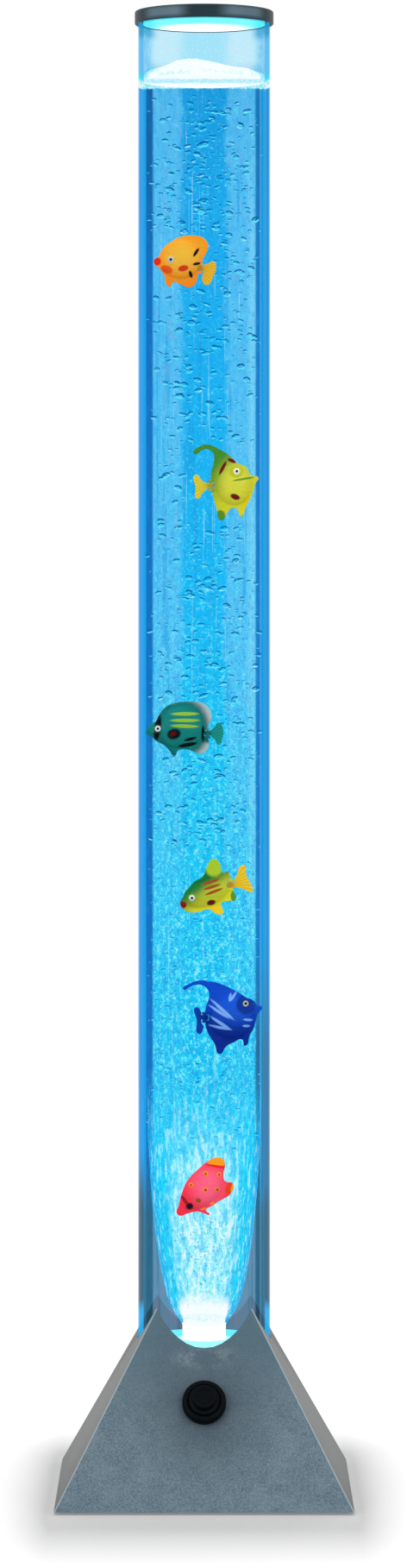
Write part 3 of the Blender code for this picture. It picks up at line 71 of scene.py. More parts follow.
# The lit bodies of water and air, a little clear of what they touch
LIT_RADIUS = BORE_RADIUS - 0.0004
WATER_LOW = FLOOR_TOP + 0.0001
WATER_HIGH = WATER_TOP - 0.0001
AIR_LOW_END = WATER_TOP + 0.0002
AIR_HIGH_END = CAP_BOTTOM - 0.0004
PLUME_LOW = FLOOR_TOP + 0.0003
FOAM_LOW = WATER_TOP + 0.0003
FOAM_LUMPS = 0.0009
FOAM_LEAN = -0.0014

# Where bubbles may be: their gap to the bore, their lowest place and the height that they share, and the share
# under which they draw in towards the plume
BUBBLE_GAP = 0.0012
BUBBLES_LOW = FLOOR_TOP + 0.012
BUBBLES_HEIGHT = WATER_TOP - FLOOR_TOP - 0.016
DRAWN_IN_SHARE = 0.14

# Colours, as linear red, green and blue
WHITE = (1, 1, 1)
SLATE = (0.168, 0.245, 0.302)
SLATE_PALE = (0.24, 0.32, 0.36)
SLATE_DEEP = (0.085, 0.138, 0.18)
# The next four colours are painted light and shade on the base: the sides' dimmer tone low down, shade, blue-tinted
# shade near the tube, and highlight.
SLATE_SIDE_DIM = (0.125, 0.125, 0.124)
SLATE_SHADE = (0.055, 0.085, 0.11)
SLATE_BLUE_SHADE = (0.075, 0.145, 0.185)
SLATE_HIGHLIGHT = (0.42, 0.5, 0.53)
INK_BLACK = (0.001, 0.0025, 0.0035)
SOFT_BLACK = (0.008, 0.011, 0.013)
CAP_DARK = (0.016, 0.036, 0.048)
# painted highlight of the cap's rim
CAP_HIGHLIGHT = (0.125, 0.2, 0.25)
GLOW_DEEP = (0.003, 0.3, 0.7)
GLOW_TOP = (0.004, 0.39, 0.86)
GLOW_MIDDLE = (0.002, 0.49, 0.94)
GLOW_CYAN = (0.006, 0.6, 0.94)
GLOW_LOW = (0.006, 0.5, 0.88)
GLOW_FOOT = (0.11, 0.21, 0.31)
# painted reflection bands in the water
LAVENDER = (0.15, 0.61, 0.93)
AIR_PALE = (0.33, 0.76, 0.95)
# the next two: pale painted reflection bands in the air, and painted shade just above the foam
AIR_BAND = (0.5, 0.83, 0.96)
AIR_LOW = (0.4, 0.64, 0.83)
AIR_EDGE = (0.1, 0.51, 0.88)
FOAM_CYAN = (0.2, 0.92, 0.95)
WHITE_CYAN = (0.48, 0.93, 0.98)
CYAN_BRIGHT = (0.04, 0.8, 0.97)
HAZE = (0.2, 0.42, 0.72)
NEAR_WHITE = (0.93, 0.98, 1)
NAVY = (0.002, 0.062, 0.285)
EDGE_BLUE = (0.005, 0.34, 0.81)
EDGE_DARK = (0.001, 0.112, 0.48)
EDGE_FOOT = (0.02, 0.072, 0.12)


# ---------------------------------------------------------------- patterns for finishes

def join(tree, slot, value):
    """Wire a value to a node's input, or write a plain number or colour on it."""
    if isinstance(value, Value):
        tree.links.new(value.socket, slot)
    elif hasattr(value, "__len__") and len(value) == 3 and slot.type == "RGBA":
        slot.default_value = (*value, 1)
    else:
        slot.default_value = value


def write_stops(elements, stops):
    while len(elements) < len(stops):
        elements.new(0.5)
    for element, (position, colour) in zip(elements, stops):
        element.position = position
        element.color = (*colour, 1)


def add_node(tree, kind, settings=None, inputs=None, out=0):
    """Add a node with its settings and its inputs, and return one output."""
    node = tree.nodes.new(kind)
    for name, value in (settings or {}).items():
        if name == "stops":
            write_stops(node.color_ramp.elements, value)
        else:
            setattr(node, name, value)
    for name, value in (inputs or {}).items():
        join(tree, node.inputs[name], value)
    return Value(tree, node.outputs[out])


class Value:
    """A number that varies over a surface; sums written with it become Math nodes."""

    def __init__(self, tree, socket):
        self.tree = tree
        self.socket = socket

    def reckon(self, operation, *terms):
        return add_node(self.tree, "ShaderNodeMath", {"operation": operation}, dict(enumerate(terms)))

    def __add__(self, other):
        return self.reckon("ADD", self, other)

    def __sub__(self, other):
        return self.reckon("SUBTRACT", self, other)

    def __rsub__(self, other):
        return self.reckon("SUBTRACT", other, self)

    def __mul__(self, other):
        return self.reckon("MULTIPLY", self, other)

    def __truediv__(self, other):
        return self.reckon("DIVIDE", self, other)

    def __pow__(self, other):
        return self.reckon("POWER", self, other)

    __radd__ = __add__
    __rmul__ = __mul__

    def most(self, other):
        return self.reckon("MAXIMUM", self, other)

    def least(self, other):
        return self.reckon("MINIMUM", self, other)

    def size(self):
        return self.reckon("ABSOLUTE", self)

    def cosine(self):
        return self.reckon("COSINE", self)

    def sine(self):
        return self.reckon("SINE", self)

    def turn_from(self, other):
        return self.reckon("ARCTAN2", self, other)

    def rise(self, low, high):
        """0 below low, 1 above high, and a smooth step between; low may be the larger one."""
        inputs = {"Value": self, "From Min": low, "From Max": high}
        return add_node(self.tree, "ShaderNodeMapRange", {"interpolation_type": "SMOOTHSTEP"}, inputs, "Result")


class Finish:
    """One material, made of a Principled shader and the patterns that vary it."""

    def __init__(self, name, inputs=None):
        self.material = bpy.data.materials.new(name)
        self.material.use_nodes = True
        self.tree = self.material.node_tree
        self.tree.nodes.clear()
        self.end = self.tree.nodes.new("ShaderNodeOutputMaterial")
        self.shader = self.make("ShaderNodeBsdfPrincipled", None, inputs)
        self.show(self.shader)
        self.place = self.make("ShaderNodeTexCoord", out="Object")

    def make(self, kind, settings=None, inputs=None, out=0):
        return add_node(self.tree, kind, settings, inputs, out)

    def feed(self, name, value):
        """Send a pattern to an input of the Principled shader."""
        join(self.tree, self.shader.socket.node.inputs[name], value)
        return self

    def relief(self, height, depth):
        return self.feed("Normal", self.make("ShaderNodeBump", None, {"Height": height, "Distance": depth}, "Normal"))

    def coat(self, tone, roughness, height, depth):
        """The colour, the gloss and the grain of a surface that isn't lit from inside."""
        return self.feed("Base Color", tone).feed("Roughness", roughness).relief(height, depth)

    def axes(self):
        split = self.make("ShaderNodeSeparateXYZ", inputs={"Vector": self.place}).socket.node
        return [Value(self.tree, output) for output in split.outputs]

    def fitted(self, centre=(0, 0, 0), turn=(0, 0, 0), size=(1, 1, 1)):
        """Object coordinates centred, turned and scaled to a spot of the pattern."""
        inputs = {"Vector": self.place, "Location": centre, "Rotation": turn, "Scale": size}
        return self.make("ShaderNodeMapping", {"vector_type": "TEXTURE"}, inputs)

    def noise(self, pitch, detail=2, rough=0.5, tall=1, place=None):
        """Soft random variation whose patches are about pitch metres wide, and tall times as high."""
        place = place or (self.place if tall == 1 else self.fitted(size=(1, 1, tall)))
        inputs = {"Vector": place, "Scale": 1 / pitch, "Detail": detail, "Roughness": rough}
        return self.make("ShaderNodeTexNoise", None, inputs, "Fac")

    def cells(self, pitch, feature="F1", place=None):
        inputs = {"Vector": place or self.place, "Scale": 1 / pitch}
        return self.make("ShaderNodeTexVoronoi", {"feature": feature}, inputs, "Distance")

    def facing(self):
        """0 where the surface is seen square on, and 1 at its outline."""
        return self.make("ShaderNodeLayerWeight", None, {"Blend": 0.5}, "Facing")

    def spot(self, centre, radii, turn=0, soft=0.25):
        """1 inside an ellipse in the XZ plane, fading to 0 at its edge."""
        place = self.fitted((centre[0], 0, centre[1]), (0, turn, 0), (radii[0], 1, radii[1]))
        away = self.make("ShaderNodeVectorMath", {"operation": "LENGTH"}, {0: place}, "Value")
        return away.rise(1 + soft, 1 - soft)

    def ramp(self, value, stops):
        return self.make("ShaderNodeValToRGB", {"stops": stops}, {"Fac": value}, "Color")

    def mix(self, share, first, second):
        """Two colours mixed by a share."""
        return self.make("ShaderNodeMix", {"data_type": "RGBA"}, {0: share, 6: first, 7: second}, 2)

    def layers(self, tone, *coats):
        """A ground colour with others laid over it in turn, each by its share."""
        for share, colour in coats:
            tone = self.mix(share, tone, colour)
        return tone

    def clear(self, colour=WHITE):
        return self.make("ShaderNodeBsdfTransparent", None, {"Color": colour})

    def shaders(self, share, first, second):
        """Mix two shaders by a share; returns the mixed one."""
        return self.make("ShaderNodeMixShader", None, {0: share, 1: first, 2: second})

    def show(self, shader):
        join(self.tree, self.end.inputs["Surface"], shader)
        return self


# ---------------------------------------------------------------- modelling by hand

def clear_selection():
    if bpy.context.mode != "OBJECT":
        bpy.ops.object.mode_set(mode="OBJECT")
    bpy.ops.object.select_all(action="DESELECT")


def pick(piece):
    clear_selection()
    piece.select_set(True)
    bpy.context.view_layer.objects.active = piece
    return piece


@contextmanager
def shaping(piece, kind="EDGE"):
    """Edit mode on one piece, with nothing selected at first."""
    pick(piece)
    bpy.ops.object.mode_set(mode="EDIT")
    bpy.ops.mesh.select_mode(type=kind)
    bpy.ops.mesh.select_all(action="DESELECT")
    yield bmesh.from_edit_mesh(piece.data)
    bpy.ops.object.mode_set(mode="OBJECT")


def choose(piece, parts, test):
    """Select the vertices or edges that a test picks."""
    for part in parts:
        part.select_set(test(part))
    bmesh.update_edit_mesh(piece.data)


def added(name):
    """The primitive just added, under its own name."""
    piece = bpy.context.active_object
    piece.name = name
    piece.data.name = name
    return piece


def settle(piece):
    """Put a piece's place, turn and size into its mesh."""
    pick(piece)
    bpy.ops.object.transform_apply(location=True, rotation=True, scale=True)
    return piece


def put(piece, matrix):
    piece.matrix_world = matrix
    return settle(piece)


def smooth(piece, angle=35):
    pick(piece)
    bpy.ops.object.shade_smooth_by_angle(angle=math.radians(angle))
    return piece


def use_modifier(piece, kind, **settings):
    """Add a modifier with its settings and apply it."""
    pick(piece)
    modifier = piece.modifiers.new(kind.lower(), kind)
    for name, value in settings.items():
        setattr(modifier, name, value)
    bpy.ops.object.modifier_apply(modifier=modifier.name)
    return piece


def cut(piece, tool, operation="DIFFERENCE"):
    """Cut a tool out of a piece, or add it on, and drop the tool."""
    use_modifier(piece, "BOOLEAN", object=tool, operation=operation, solver="EXACT")
    bpy.data.objects.remove(tool, do_unlink=True)


def joined(name, pieces):
    clear_selection()
    for piece in pieces:
        piece.select_set(True)
    bpy.context.view_layer.objects.active = pieces[0]
    bpy.ops.object.join()
    return added(name)


def softened(profile, radius, steps=3):
    """A profile whose corners are rounded by curves of about one radius."""
    rounded = []
    for index, point in enumerate(profile):
        corner = Vector(point)
        to_before = Vector(profile[index - 1]) - corner
        to_after = Vector(profile[(index + 1) % len(profile)]) - corner
        at_end = index in (0, len(profile) - 1)
        if at_end or corner.x < radius / 2 or to_before.length < 1e-7 or to_after.length < 1e-7:
            rounded.append(tuple(corner))
            continue
        start = corner + to_before.normalized() * min(radius, to_before.length * 0.45)
        end = corner + to_after.normalized() * min(radius, to_after.length * 0.45)
        for step in range(steps + 1):
            t = step / steps
            rounded.append(tuple((1 - t) ** 2 * start + 2 * t * (1 - t) * corner + t * t * end))
    return rounded


def turned(name, profile, segments, ring=False):
    """A piece turned on a lathe from (radius, height) points: a circle is extruded ring by ring. A profile
    that starts and ends on the axis is closed at its poles; a ring's profile closes on itself."""
    points = [point for point in profile if point[0] > 1e-6]
    clear_selection()
    bpy.ops.mesh.primitive_circle_add(vertices=segments, radius=points[0][0], location=(0, 0, points[0][1]))
    piece = settle(added(name))
    with shaping(piece):
        bpy.ops.mesh.select_all(action="SELECT")
        for (radius, height), (next_radius, next_height) in zip(points, points[1:]):
            bpy.ops.mesh.extrude_edges_move(TRANSFORM_OT_translate={"value": (0, 0, next_height - height)})
            share = next_radius / radius
            bpy.ops.transform.resize(value=(share, share, 1), center_override=(0, 0, next_height))
    if ring:
        with shaping(piece) as shape:
            choose(piece, shape.edges, lambda edge: edge.is_boundary)
            bpy.ops.mesh.bridge_edge_loops()
    else:
        for (_, end), (_, pole) in ((points[0], profile[0]), (points[-1], profile[-1])):
            def at_end(edge, height=end):
                return edge.is_boundary and all(abs(v.co.z - height) < 1e-7 for v in edge.verts)
            with shaping(piece) as shape:
                choose(piece, shape.edges, at_end)
                if any(edge.select for edge in shape.edges):
                    bpy.ops.mesh.extrude_edges_move(TRANSFORM_OT_translate={"value": (0, 0, pole - end)})
                    bpy.ops.mesh.merge(type="CENTER")
    with shaping(piece):
        bpy.ops.mesh.select_all(action="SELECT")
        bpy.ops.mesh.normals_make_consistent(inside=False)
    return piece


def bar(name, radius, low, high, place=(0, 0, 0), segments=24):
    """A short upright bar or drill."""
    clear_selection()
    bpy.ops.mesh.primitive_cylinder_add(vertices=segments, radius=radius, depth=high - low)
    return put(added(name), Matrix.Translation(place) @ Matrix.Translation((0, 0, (low + high) / 2)))


def dress(piece, finish):
    piece.data.materials.clear()
    piece.data.materials.append(finish.material)


def refined(node, name, width):
    """A copy of a rigid CAD node with merged faces and rounded edges."""
    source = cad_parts[node]
    piece = source.copy()
    piece.data = source.data.copy()
    piece.parent = None
    for label in list(piece.keys()):
        if label.startswith("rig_"):
            del piece[label]
    bpy.context.scene.collection.objects.link(piece)
    piece.name = name
    piece.data.name = name
    with shaping(piece, "FACE"):
        bpy.ops.mesh.select_all(action="SELECT")
        bpy.ops.mesh.remove_doubles(threshold=1e-6)
        bpy.ops.mesh.dissolve_limited(angle_limit=math.radians(2))
    use_modifier(
        piece, "BEVEL", width=width, segments=2, limit_method="ANGLE",
        angle_limit=math.radians(30), harden_normals=False, miter_outer="MITER_ARC",
    )
    return smooth(piece, 40)


# ---------------------------------------------------------------- finishes of the base and the cap

def speckled_paint(name, deep, middle, pale):
    """Metallic powder paint: a fine grain, painted shade darker round the button, with painted highlights along the
    ridges.
    """
    finish = Finish(name, {"Metallic": 0.2, "Specular IOR Level": 0.3})
    x, y, z = finish.axes()
    fleck = finish.noise(0.001, 4, 0.75)
    drift = finish.noise(0.016, 4, 0.65)
    blotch = finish.noise(0.0042, 3, 0.7)
    brushed_grain = finish.noise(0.0015, 2, 0.6, tall=9)
    flake = finish.cells(0.0018)
    past_ridge = x.size() - y.size()
    side = past_ridge.rise(0, 0.002)
    front = y.rise(0, -0.02)
    # painted shade round the button, on the front faces
    button_shade = finish.spot((0, 0.0565), (0.034, 0.03), 0, 0.75) * (1 - side) * front
    # painted highlight, broken into patches: the tube's light reflected on the front face just below the notch
    notch_highlight = finish.spot((0, 0.0855), (0.017, 0.0052), 0, 0.6) * drift.rise(0.4, 0.6) * front
    # painted light: the side faces get their own greyer copy of the paint for how light falls on them, darker lower
    # down
    side_lit_tone = finish.mix(z.rise(0.01, 0.06), SLATE_SIDE_DIM, (0.14, 0.138, 0.134))
    tone = finish.layers(
        deep,
        (fleck.rise(0.38, 0.62), middle),
        (flake.rise(0.26, 0.06) * 0.22, pale),
        (blotch.rise(0.46, 0.34) * 0.3, deep),
        (drift.rise(0.4, 0.66) * 0.24 + brushed_grain.rise(0.5, 0.75) * 0.14, pale),
        # painted shade on the upper front faces, tinted blue by the tube's light
        ((1 - side) * z.rise(0.045, 0.1) * 0.75, SLATE_BLUE_SHADE),
        # painted shade round the button
        (button_shade * 0.55, SLATE_SHADE),
        # painted highlight below the tube's notch
        (notch_highlight * 0.35, SLATE_HIGHLIGHT),
        # the side faces in their painted lit tone
        (side * 0.92, finish.mix(fleck.rise(0.35, 0.7) * 0.3, side_lit_tone, (0.2, 0.197, 0.19))),
        # painted highlight: a thin pale line along the corner ridges
        (past_ridge.size().rise(0.001, 0.0003) * 0.85, SLATE_HIGHLIGHT),
    )
    return finish.coat(tone, 0.46 + 0.14 * fleck, fleck + 0.4 * flake, 0.00006)


def moulded(name, colour, pale, roughness=0.42):
    """Moulded plastic with a fine grain and slight cloudiness."""
    finish = Finish(name, {"Specular IOR Level": 0.5})
    grain = finish.noise(0.0009, 2, 0.6)
    tone = finish.mix(finish.noise(0.012, 3).rise(0.35, 0.7) * 0.5 + grain * 0.3, colour, pale)
    return finish.coat(tone, roughness - 0.06 + 0.16 * grain, grain, 0.00003)


def brushed(name, colour, pale, roughness=0.3):
    """Plated or brushed metal with fine turning marks."""
    finish = Finish(name, {"Metallic": 1})
    marks = finish.noise(0.0006, 3, 0.7, tall=0.12)
    tone = finish.mix(marks * 0.5 + finish.noise(0.006, 3) * 0.4, colour, pale)
    return finish.coat(tone, roughness + 0.18 * marks - 0.05, marks, 0.00001)


def rubbery(name, colour, pale):
    """Soft rubber, dull and a little dusty."""
    finish = Finish(name, {"Specular IOR Level": 0.3})
    grit = finish.noise(0.0003)
    tone = finish.mix(finish.noise(0.0025, 4, 0.7).rise(0.4, 0.75) * 0.6, colour, pale)
    return finish.coat(tone, 0.72 + 0.2 * grit, grit, 0.00004)


def porous(name, colour, pale, pitch=0.0009, depth=0.0003):
    """Foam pad or air stone: open pores of one size."""
    finish = Finish(name, {"Specular IOR Level": 0.2})
    pores = finish.cells(pitch)
    grit = finish.noise(pitch / 2, 3, 0.7)
    tone = finish.mix(pores.rise(0.1, 0.55) * 0.7 + grit * 0.3, colour, pale)
    return finish.coat(tone, 0.85 + 0.1 * grit, pores + 0.3 * grit, depth)


def wound(name, colour, pale, pitch=0.0005):
    """Copper winding: rows of fine wire round the coil."""
    finish = Finish(name, {"Metallic": 0.9})
    rows = (finish.axes()[0] * (2 * math.pi / pitch)).sine() * 0.5 + 0.5
    stain = finish.noise(0.004)
    return finish.coat(finish.mix(rows * 0.6 + stain * 0.3, colour, pale), 0.32 + 0.2 * stain, rows, 0.0001)


def circuit_board(name, colour, pale, copper):
    """Lacquered board with faint tracks and pads."""
    finish = Finish(name, {"Specular IOR Level": 0.5, "Coat Weight": 0.3, "Coat Roughness": 0.2})
    tracks = finish.cells(0.0034, "DISTANCE_TO_EDGE").rise(0.1, 0.06)
    pads = finish.cells(0.004).rise(0.16, 0.12)
    cloth = finish.noise(0.0007)
    tone = finish.layers(colour, (tracks * 0.55 + cloth * 0.2, pale), (pads, copper))
    return finish.coat(tone, 0.4 + 0.1 * cloth, tracks + pads, 0.00005)


def glossy_black(name):
    """Black gloss plastic of the button, with a fine grain and dust."""
    finish = Finish(name, {"Specular IOR Level": 0.05})
    grain = finish.noise(0.0003)
    tone = finish.mix(finish.noise(0.0012, 3, 0.7).rise(0.45, 0.8) * 0.5, INK_BLACK, SOFT_BLACK)
    return finish.coat(tone, 0.36 + 0.16 * grain, grain, 0.00002)


def cap_finish(name):
    """Dark satin cap: brushed round its rim, with painted soft highlights between darker parts."""
    finish = Finish(name, {"Metallic": 0.2, "Specular IOR Level": 0.1})
    x, y, z = finish.axes()
    brush = finish.noise(0.0011, 4, 0.7, place=finish.fitted(size=(6, 6, 0.25)))
    # painted reflections of the softboxes: five soft bands round the rim, faded at its top and bottom edges
    reflection_bands = (x.turn_from(y) * 5).cosine().rise(-0.75, 0.7) * (x * x + y * y).rise(0.0385 ** 2, 0.0412 ** 2)
    rise = z.rise(CAP_BOTTOM + 0.0006, CAP_BOTTOM + 0.003) * z.rise(CAP_TOP, CAP_TOP - 0.0025)
    tone = finish.layers(
        CAP_DARK,
        (reflection_bands * (0.25 + 0.75 * rise) * (0.75 + 0.5 * brush).least(1), CAP_HIGHLIGHT),
        (brush.rise(0.35, 0.7) * 0.12, (0.1, 0.13, 0.15)),
    )
    return finish.coat(tone, 0.32 + 0.2 * brush, brush, 0.00002)


# ---------------------------------------------------------------- finishes of the lit tube

def glow(finish, colour, strength=1):
    """A dark Principled shader that gives off a colour."""
    return finish.make("ShaderNodeBsdfPrincipled", None, {
        "Base Color": (0, 0, 0), "Roughness": 0.9, "Specular IOR Level": 0,
        "Emission Color": colour, "Emission Strength": strength,
    })


def far_side(finish):
    """1 on the far side of a lit body, seen from inside it."""
    return finish.make("ShaderNodeNewGeometry", out="Backfacing")


def side_only(z, low, high):
    """1 on the side of a closed body, and 0 on its flat ends."""
    return z.rise(low + 0.00005, low + 0.0002) * z.rise(high - 0.00005, high - 0.0002)


def let_light_in(finish, shown, lit, under=None):
    """A glow that shows by a share. Studio light passes it, so that the fish inside are lit from outside."""
    clear = finish.clear()
    shader = finish.shaders(shown, under or clear, lit)
    for ray in ("Is Diffuse Ray", "Is Shadow Ray"):
        shader = finish.shaders(finish.make("ShaderNodeLightPath", out=ray), shader, clear)
    return finish.show(shader)


def water_colour(finish):
    """The light in the water: deep blue at the top, cyan and grainy below, grey-blue round the plume, with painted
    reflection bands and thin painted highlight lines.
    """
    x, y, z = finish.axes()
    height = (z - FLOOR_TOP) / (WATER_TOP - FLOOR_TOP)
    column = finish.ramp(height, [
        (0, GLOW_FOOT), (0.085, GLOW_FOOT), (0.16, GLOW_LOW), (0.24, GLOW_CYAN),
        (0.45, GLOW_CYAN), (0.6, GLOW_MIDDLE), (0.9, GLOW_TOP), (1, GLOW_DEEP),
    ])
    upper = height.rise(0.25, 0.6)
    foot = height.rise(0.16, 0.085)
    over_foot = 1 - foot
    lower = height.rise(0.8, 0.22) * over_foot
    right = x.rise(0, 0.001)
    facing = finish.facing()
    ripple = finish.noise(0.008, 3, 0.6, tall=1.5)
    streaks = finish.noise(0.0042, 2, 0.6, tall=22)
    haze = finish.noise(0.0045, 3, 0.65, tall=2.6)
    # thin vertical lines: partly streaks in the water's own light, partly painted highlights of the tube
    highlight_threads = finish.noise(0.0011, 1, tall=70)
    grain = finish.noise(0.0032, 4, 0.8, tall=1.3)
    fine = finish.noise(0.0013, 2, 0.6)
    speck = finish.noise(0.0019, 1.5, 0.6, place=finish.fitted((0.05, 0.03, 0.02)))
    # painted reflections: pale bands round the tube, broken by ripples
    reflection_bands = (x.turn_from(y) * 4.4 + (ripple - 0.5) * 1.4).cosine().rise(0.2, -0.45)
    pale = facing.rise(0.26, 0.38) * right * height.rise(0.2, 0.45) * height.rise(1, 0.85)
    bright = grain.rise(0.55 - 0.04 * lower, 0.66 - 0.06 * lower) * (0.35 + 0.6 * lower) * over_foot
    line = facing.rise(0.435, 0.505) * (0.75 + 0.5 * ripple).least(1)
    dark = finish.mix(right * 0.25, finish.mix(height.rise(0.8, 0.97), EDGE_DARK, NAVY), EDGE_BLUE)
    dim = foot.most(right * height.rise(0.33, 0.22) * 0.65)
    stripe = facing.rise(0.59, 0.625) * facing.rise(0.7, 0.665) * right
    level = (z - WATER_TOP) + facing * 0.0042 + (grain - 0.5) * 0.0026
    return finish.layers(
        column,
        # painted reflection bands, lavender and hazy
        (reflection_bands * (0.1 + 0.5 * upper) * (0.5 + ripple), LAVENDER),
        (streaks.rise(0.46, 0.33) * (0.15 + 0.35 * upper) * over_foot, GLOW_DEEP),
        (haze.rise(0.52, 0.66) * reflection_bands * 0.4 * upper, HAZE),
        # painted reflection: a pale band on the right side
        (pale * (0.15 + 0.8 * haze), (0.26, 0.74, 0.96)),
        # painted highlights: thin bright vertical lines
        (highlight_threads.rise(0.68, 0.74) * 0.45 * over_foot, WHITE_CYAN),
        (haze.rise(0.42, 0.6) * foot * 0.55, (0.19, 0.215, 0.33)),
        (streaks.rise(0.46, 0.34) * foot * 0.45, (0.045, 0.12, 0.21)),
        # grains of light, coarser and brighter lower down
        (grain.rise(0.49, 0.36) * (0.45 + 0.3 * lower) * over_foot, EDGE_BLUE),
        (fine.rise(0.46, 0.32) * (0.35 + 0.45 * lower) * over_foot, (0.002, 0.27, 0.72)),
        (bright, CYAN_BRIGHT),
        (grain.rise(0.6 - 0.03 * lower, 0.7) * (0.3 + 0.55 * lower) * over_foot, WHITE_CYAN),
        (speck.rise(0.56, 0.69) * (0.12 + 0.62 * lower) * over_foot, (0.28, 0.9, 0.98)),
        # the bore's edge: a dark line, then a pale stripe on the right, then bright blue
        (line, finish.mix(dim, dark, EDGE_FOOT)),
        (stripe * 0.75, finish.mix(foot, (0.067, 0.42, 0.74), GLOW_FOOT)),
        (facing.rise(0.67, 0.76), finish.mix(dim, EDGE_BLUE, (0.04, 0.13, 0.22))),
        # the lit line where the water meets the foam
        (level.rise(-0.0009, 0.0001) * 0.95, finish.mix(fine.rise(0.45, 0.6), FOAM_CYAN, NEAR_WHITE)),
    )


def water_finish(name):
    """Water that glows from its far side and lets a little of what is behind it through."""
    finish = Finish(name)
    lit = finish.shaders(0.86, finish.clear((0.06, 0.5, 0.88)), glow(finish, water_colour(finish)))
    return let_light_in(finish, far_side(finish) * side_only(finish.axes()[2], WATER_LOW, WATER_HIGH), lit)


def air_finish(name):
    """Pale light in the air over the water, with painted pale reflection bands, painted shade just above the foam,
    and a mist of droplets on the wall.
    """
    finish = Finish(name)
    x, y, z = finish.axes()
    facing = finish.facing()
    mist = finish.noise(0.0045, 3, 0.6)
    # painted reflections: pale bands round the tube
    reflection_bands = (x.turn_from(y) * 4.4 + (mist - 0.5) * 0.8).cosine().rise(0.45, -0.8)
    tone = finish.layers(
        AIR_PALE,
        (reflection_bands * (0.65 + 0.7 * mist).least(1), AIR_BAND),
        (mist.rise(0.5, 0.75) * reflection_bands * 0.5, (0.62, 0.72, 0.9)),
        # painted shade just above the foam
        (z.rise(WATER_TOP + 0.017, WATER_TOP + 0.0075) * 0.75, AIR_LOW),
        (finish.cells(0.002).rise(0.3, 0.12) * 0.3, NEAR_WHITE),
        (facing.rise(0.25, 0.55) * z.rise(WATER_TOP + 0.015, WATER_TOP + 0.008) * 0.8, (0.01, 0.55, 0.85)),
        (facing.rise(0.42, 0.66) * 0.9, finish.mix(mist.rise(0.35, 0.65) * 0.4, AIR_EDGE, AIR_BAND)),
        (z.rise(CAP_BOTTOM - 0.009, CAP_BOTTOM - 0.003) * facing.rise(0.3, 0.6), (0.03, 0.4, 0.68)),
    )
    lit = finish.shaders(0.94, finish.clear(), glow(finish, tone))
    return let_light_in(finish, far_side(finish) * side_only(z, AIR_LOW_END, AIR_HIGH_END), lit)


def wall_finish(name):
    """Clear acrylic: a slight sheen on its faces, and light held at its outer edge."""
    finish = Finish(name)
    x, y, z = finish.axes()
    facing = finish.facing()
    ripple = finish.noise(0.01, tall=5)
    fine = finish.noise(0.0014, 3, 0.7)
    outside = (x * x + y * y).rise(0.0385 ** 2, 0.0387 ** 2)
    right = x.rise(0, 0.001)
    foot = z.rise(0.208, 0.165).most(right * z.rise(0.335, 0.255) * 0.65)
    wet_tone = finish.layers(
        EDGE_BLUE,
        (ripple.rise(0.4, 0.6) * 0.5, (0.009, 0.37, 0.85)),
        (fine.rise(0.66, 0.74) * 0.6, WHITE_CYAN),
        (facing.rise(0.62, 0.68) * facing.rise(0.8, 0.72) * right * 0.7, (0.005, 0.2, 0.5)),
        (foot, finish.mix(facing.rise(0.62, 0.72), (0.032, 0.11, 0.18), (0.045, 0.15, 0.24))),
        (z.rise(0.113, 0.104), (0.02, 0.42, 0.83)),
    )
    dry_tone = finish.mix(z.rise(CAP_BOTTOM - 0.009, CAP_BOTTOM - 0.003), AIR_EDGE, (0.02, 0.32, 0.6))
    rim = z.rise(WATER_TOP - 0.0036, WATER_TOP - 0.0026) * z.rise(WATER_TOP + 0.0085, WATER_TOP + 0.002)
    rim_light = z.rise(WATER_TOP + 0.003, WATER_TOP) * fine.rise(0.4, 0.52)
    tone = finish.layers(
        dry_tone,
        (z.rise(WATER_TOP + 0.008, WATER_TOP + 0.001), wet_tone),
        (rim, finish.mix(rim_light, (0.04, 0.74, 0.89), NEAR_WHITE)),
    )
    shown = facing.rise(0.565, 0.6) * (0.12 + 0.88 * facing.rise(0.98, 0.74)) * outside * far_side(finish) * 0.97
    finish.feed("Base Color", (0.95, 0.97, 1)).feed("Metallic", 1).feed("Roughness", 0.03 + 0.04 * ripple)
    surface = finish.shaders(0.012 * facing ** 4 * outside, finish.clear(), finish.shader)
    return let_light_in(finish, shown, glow(finish, tone), surface)


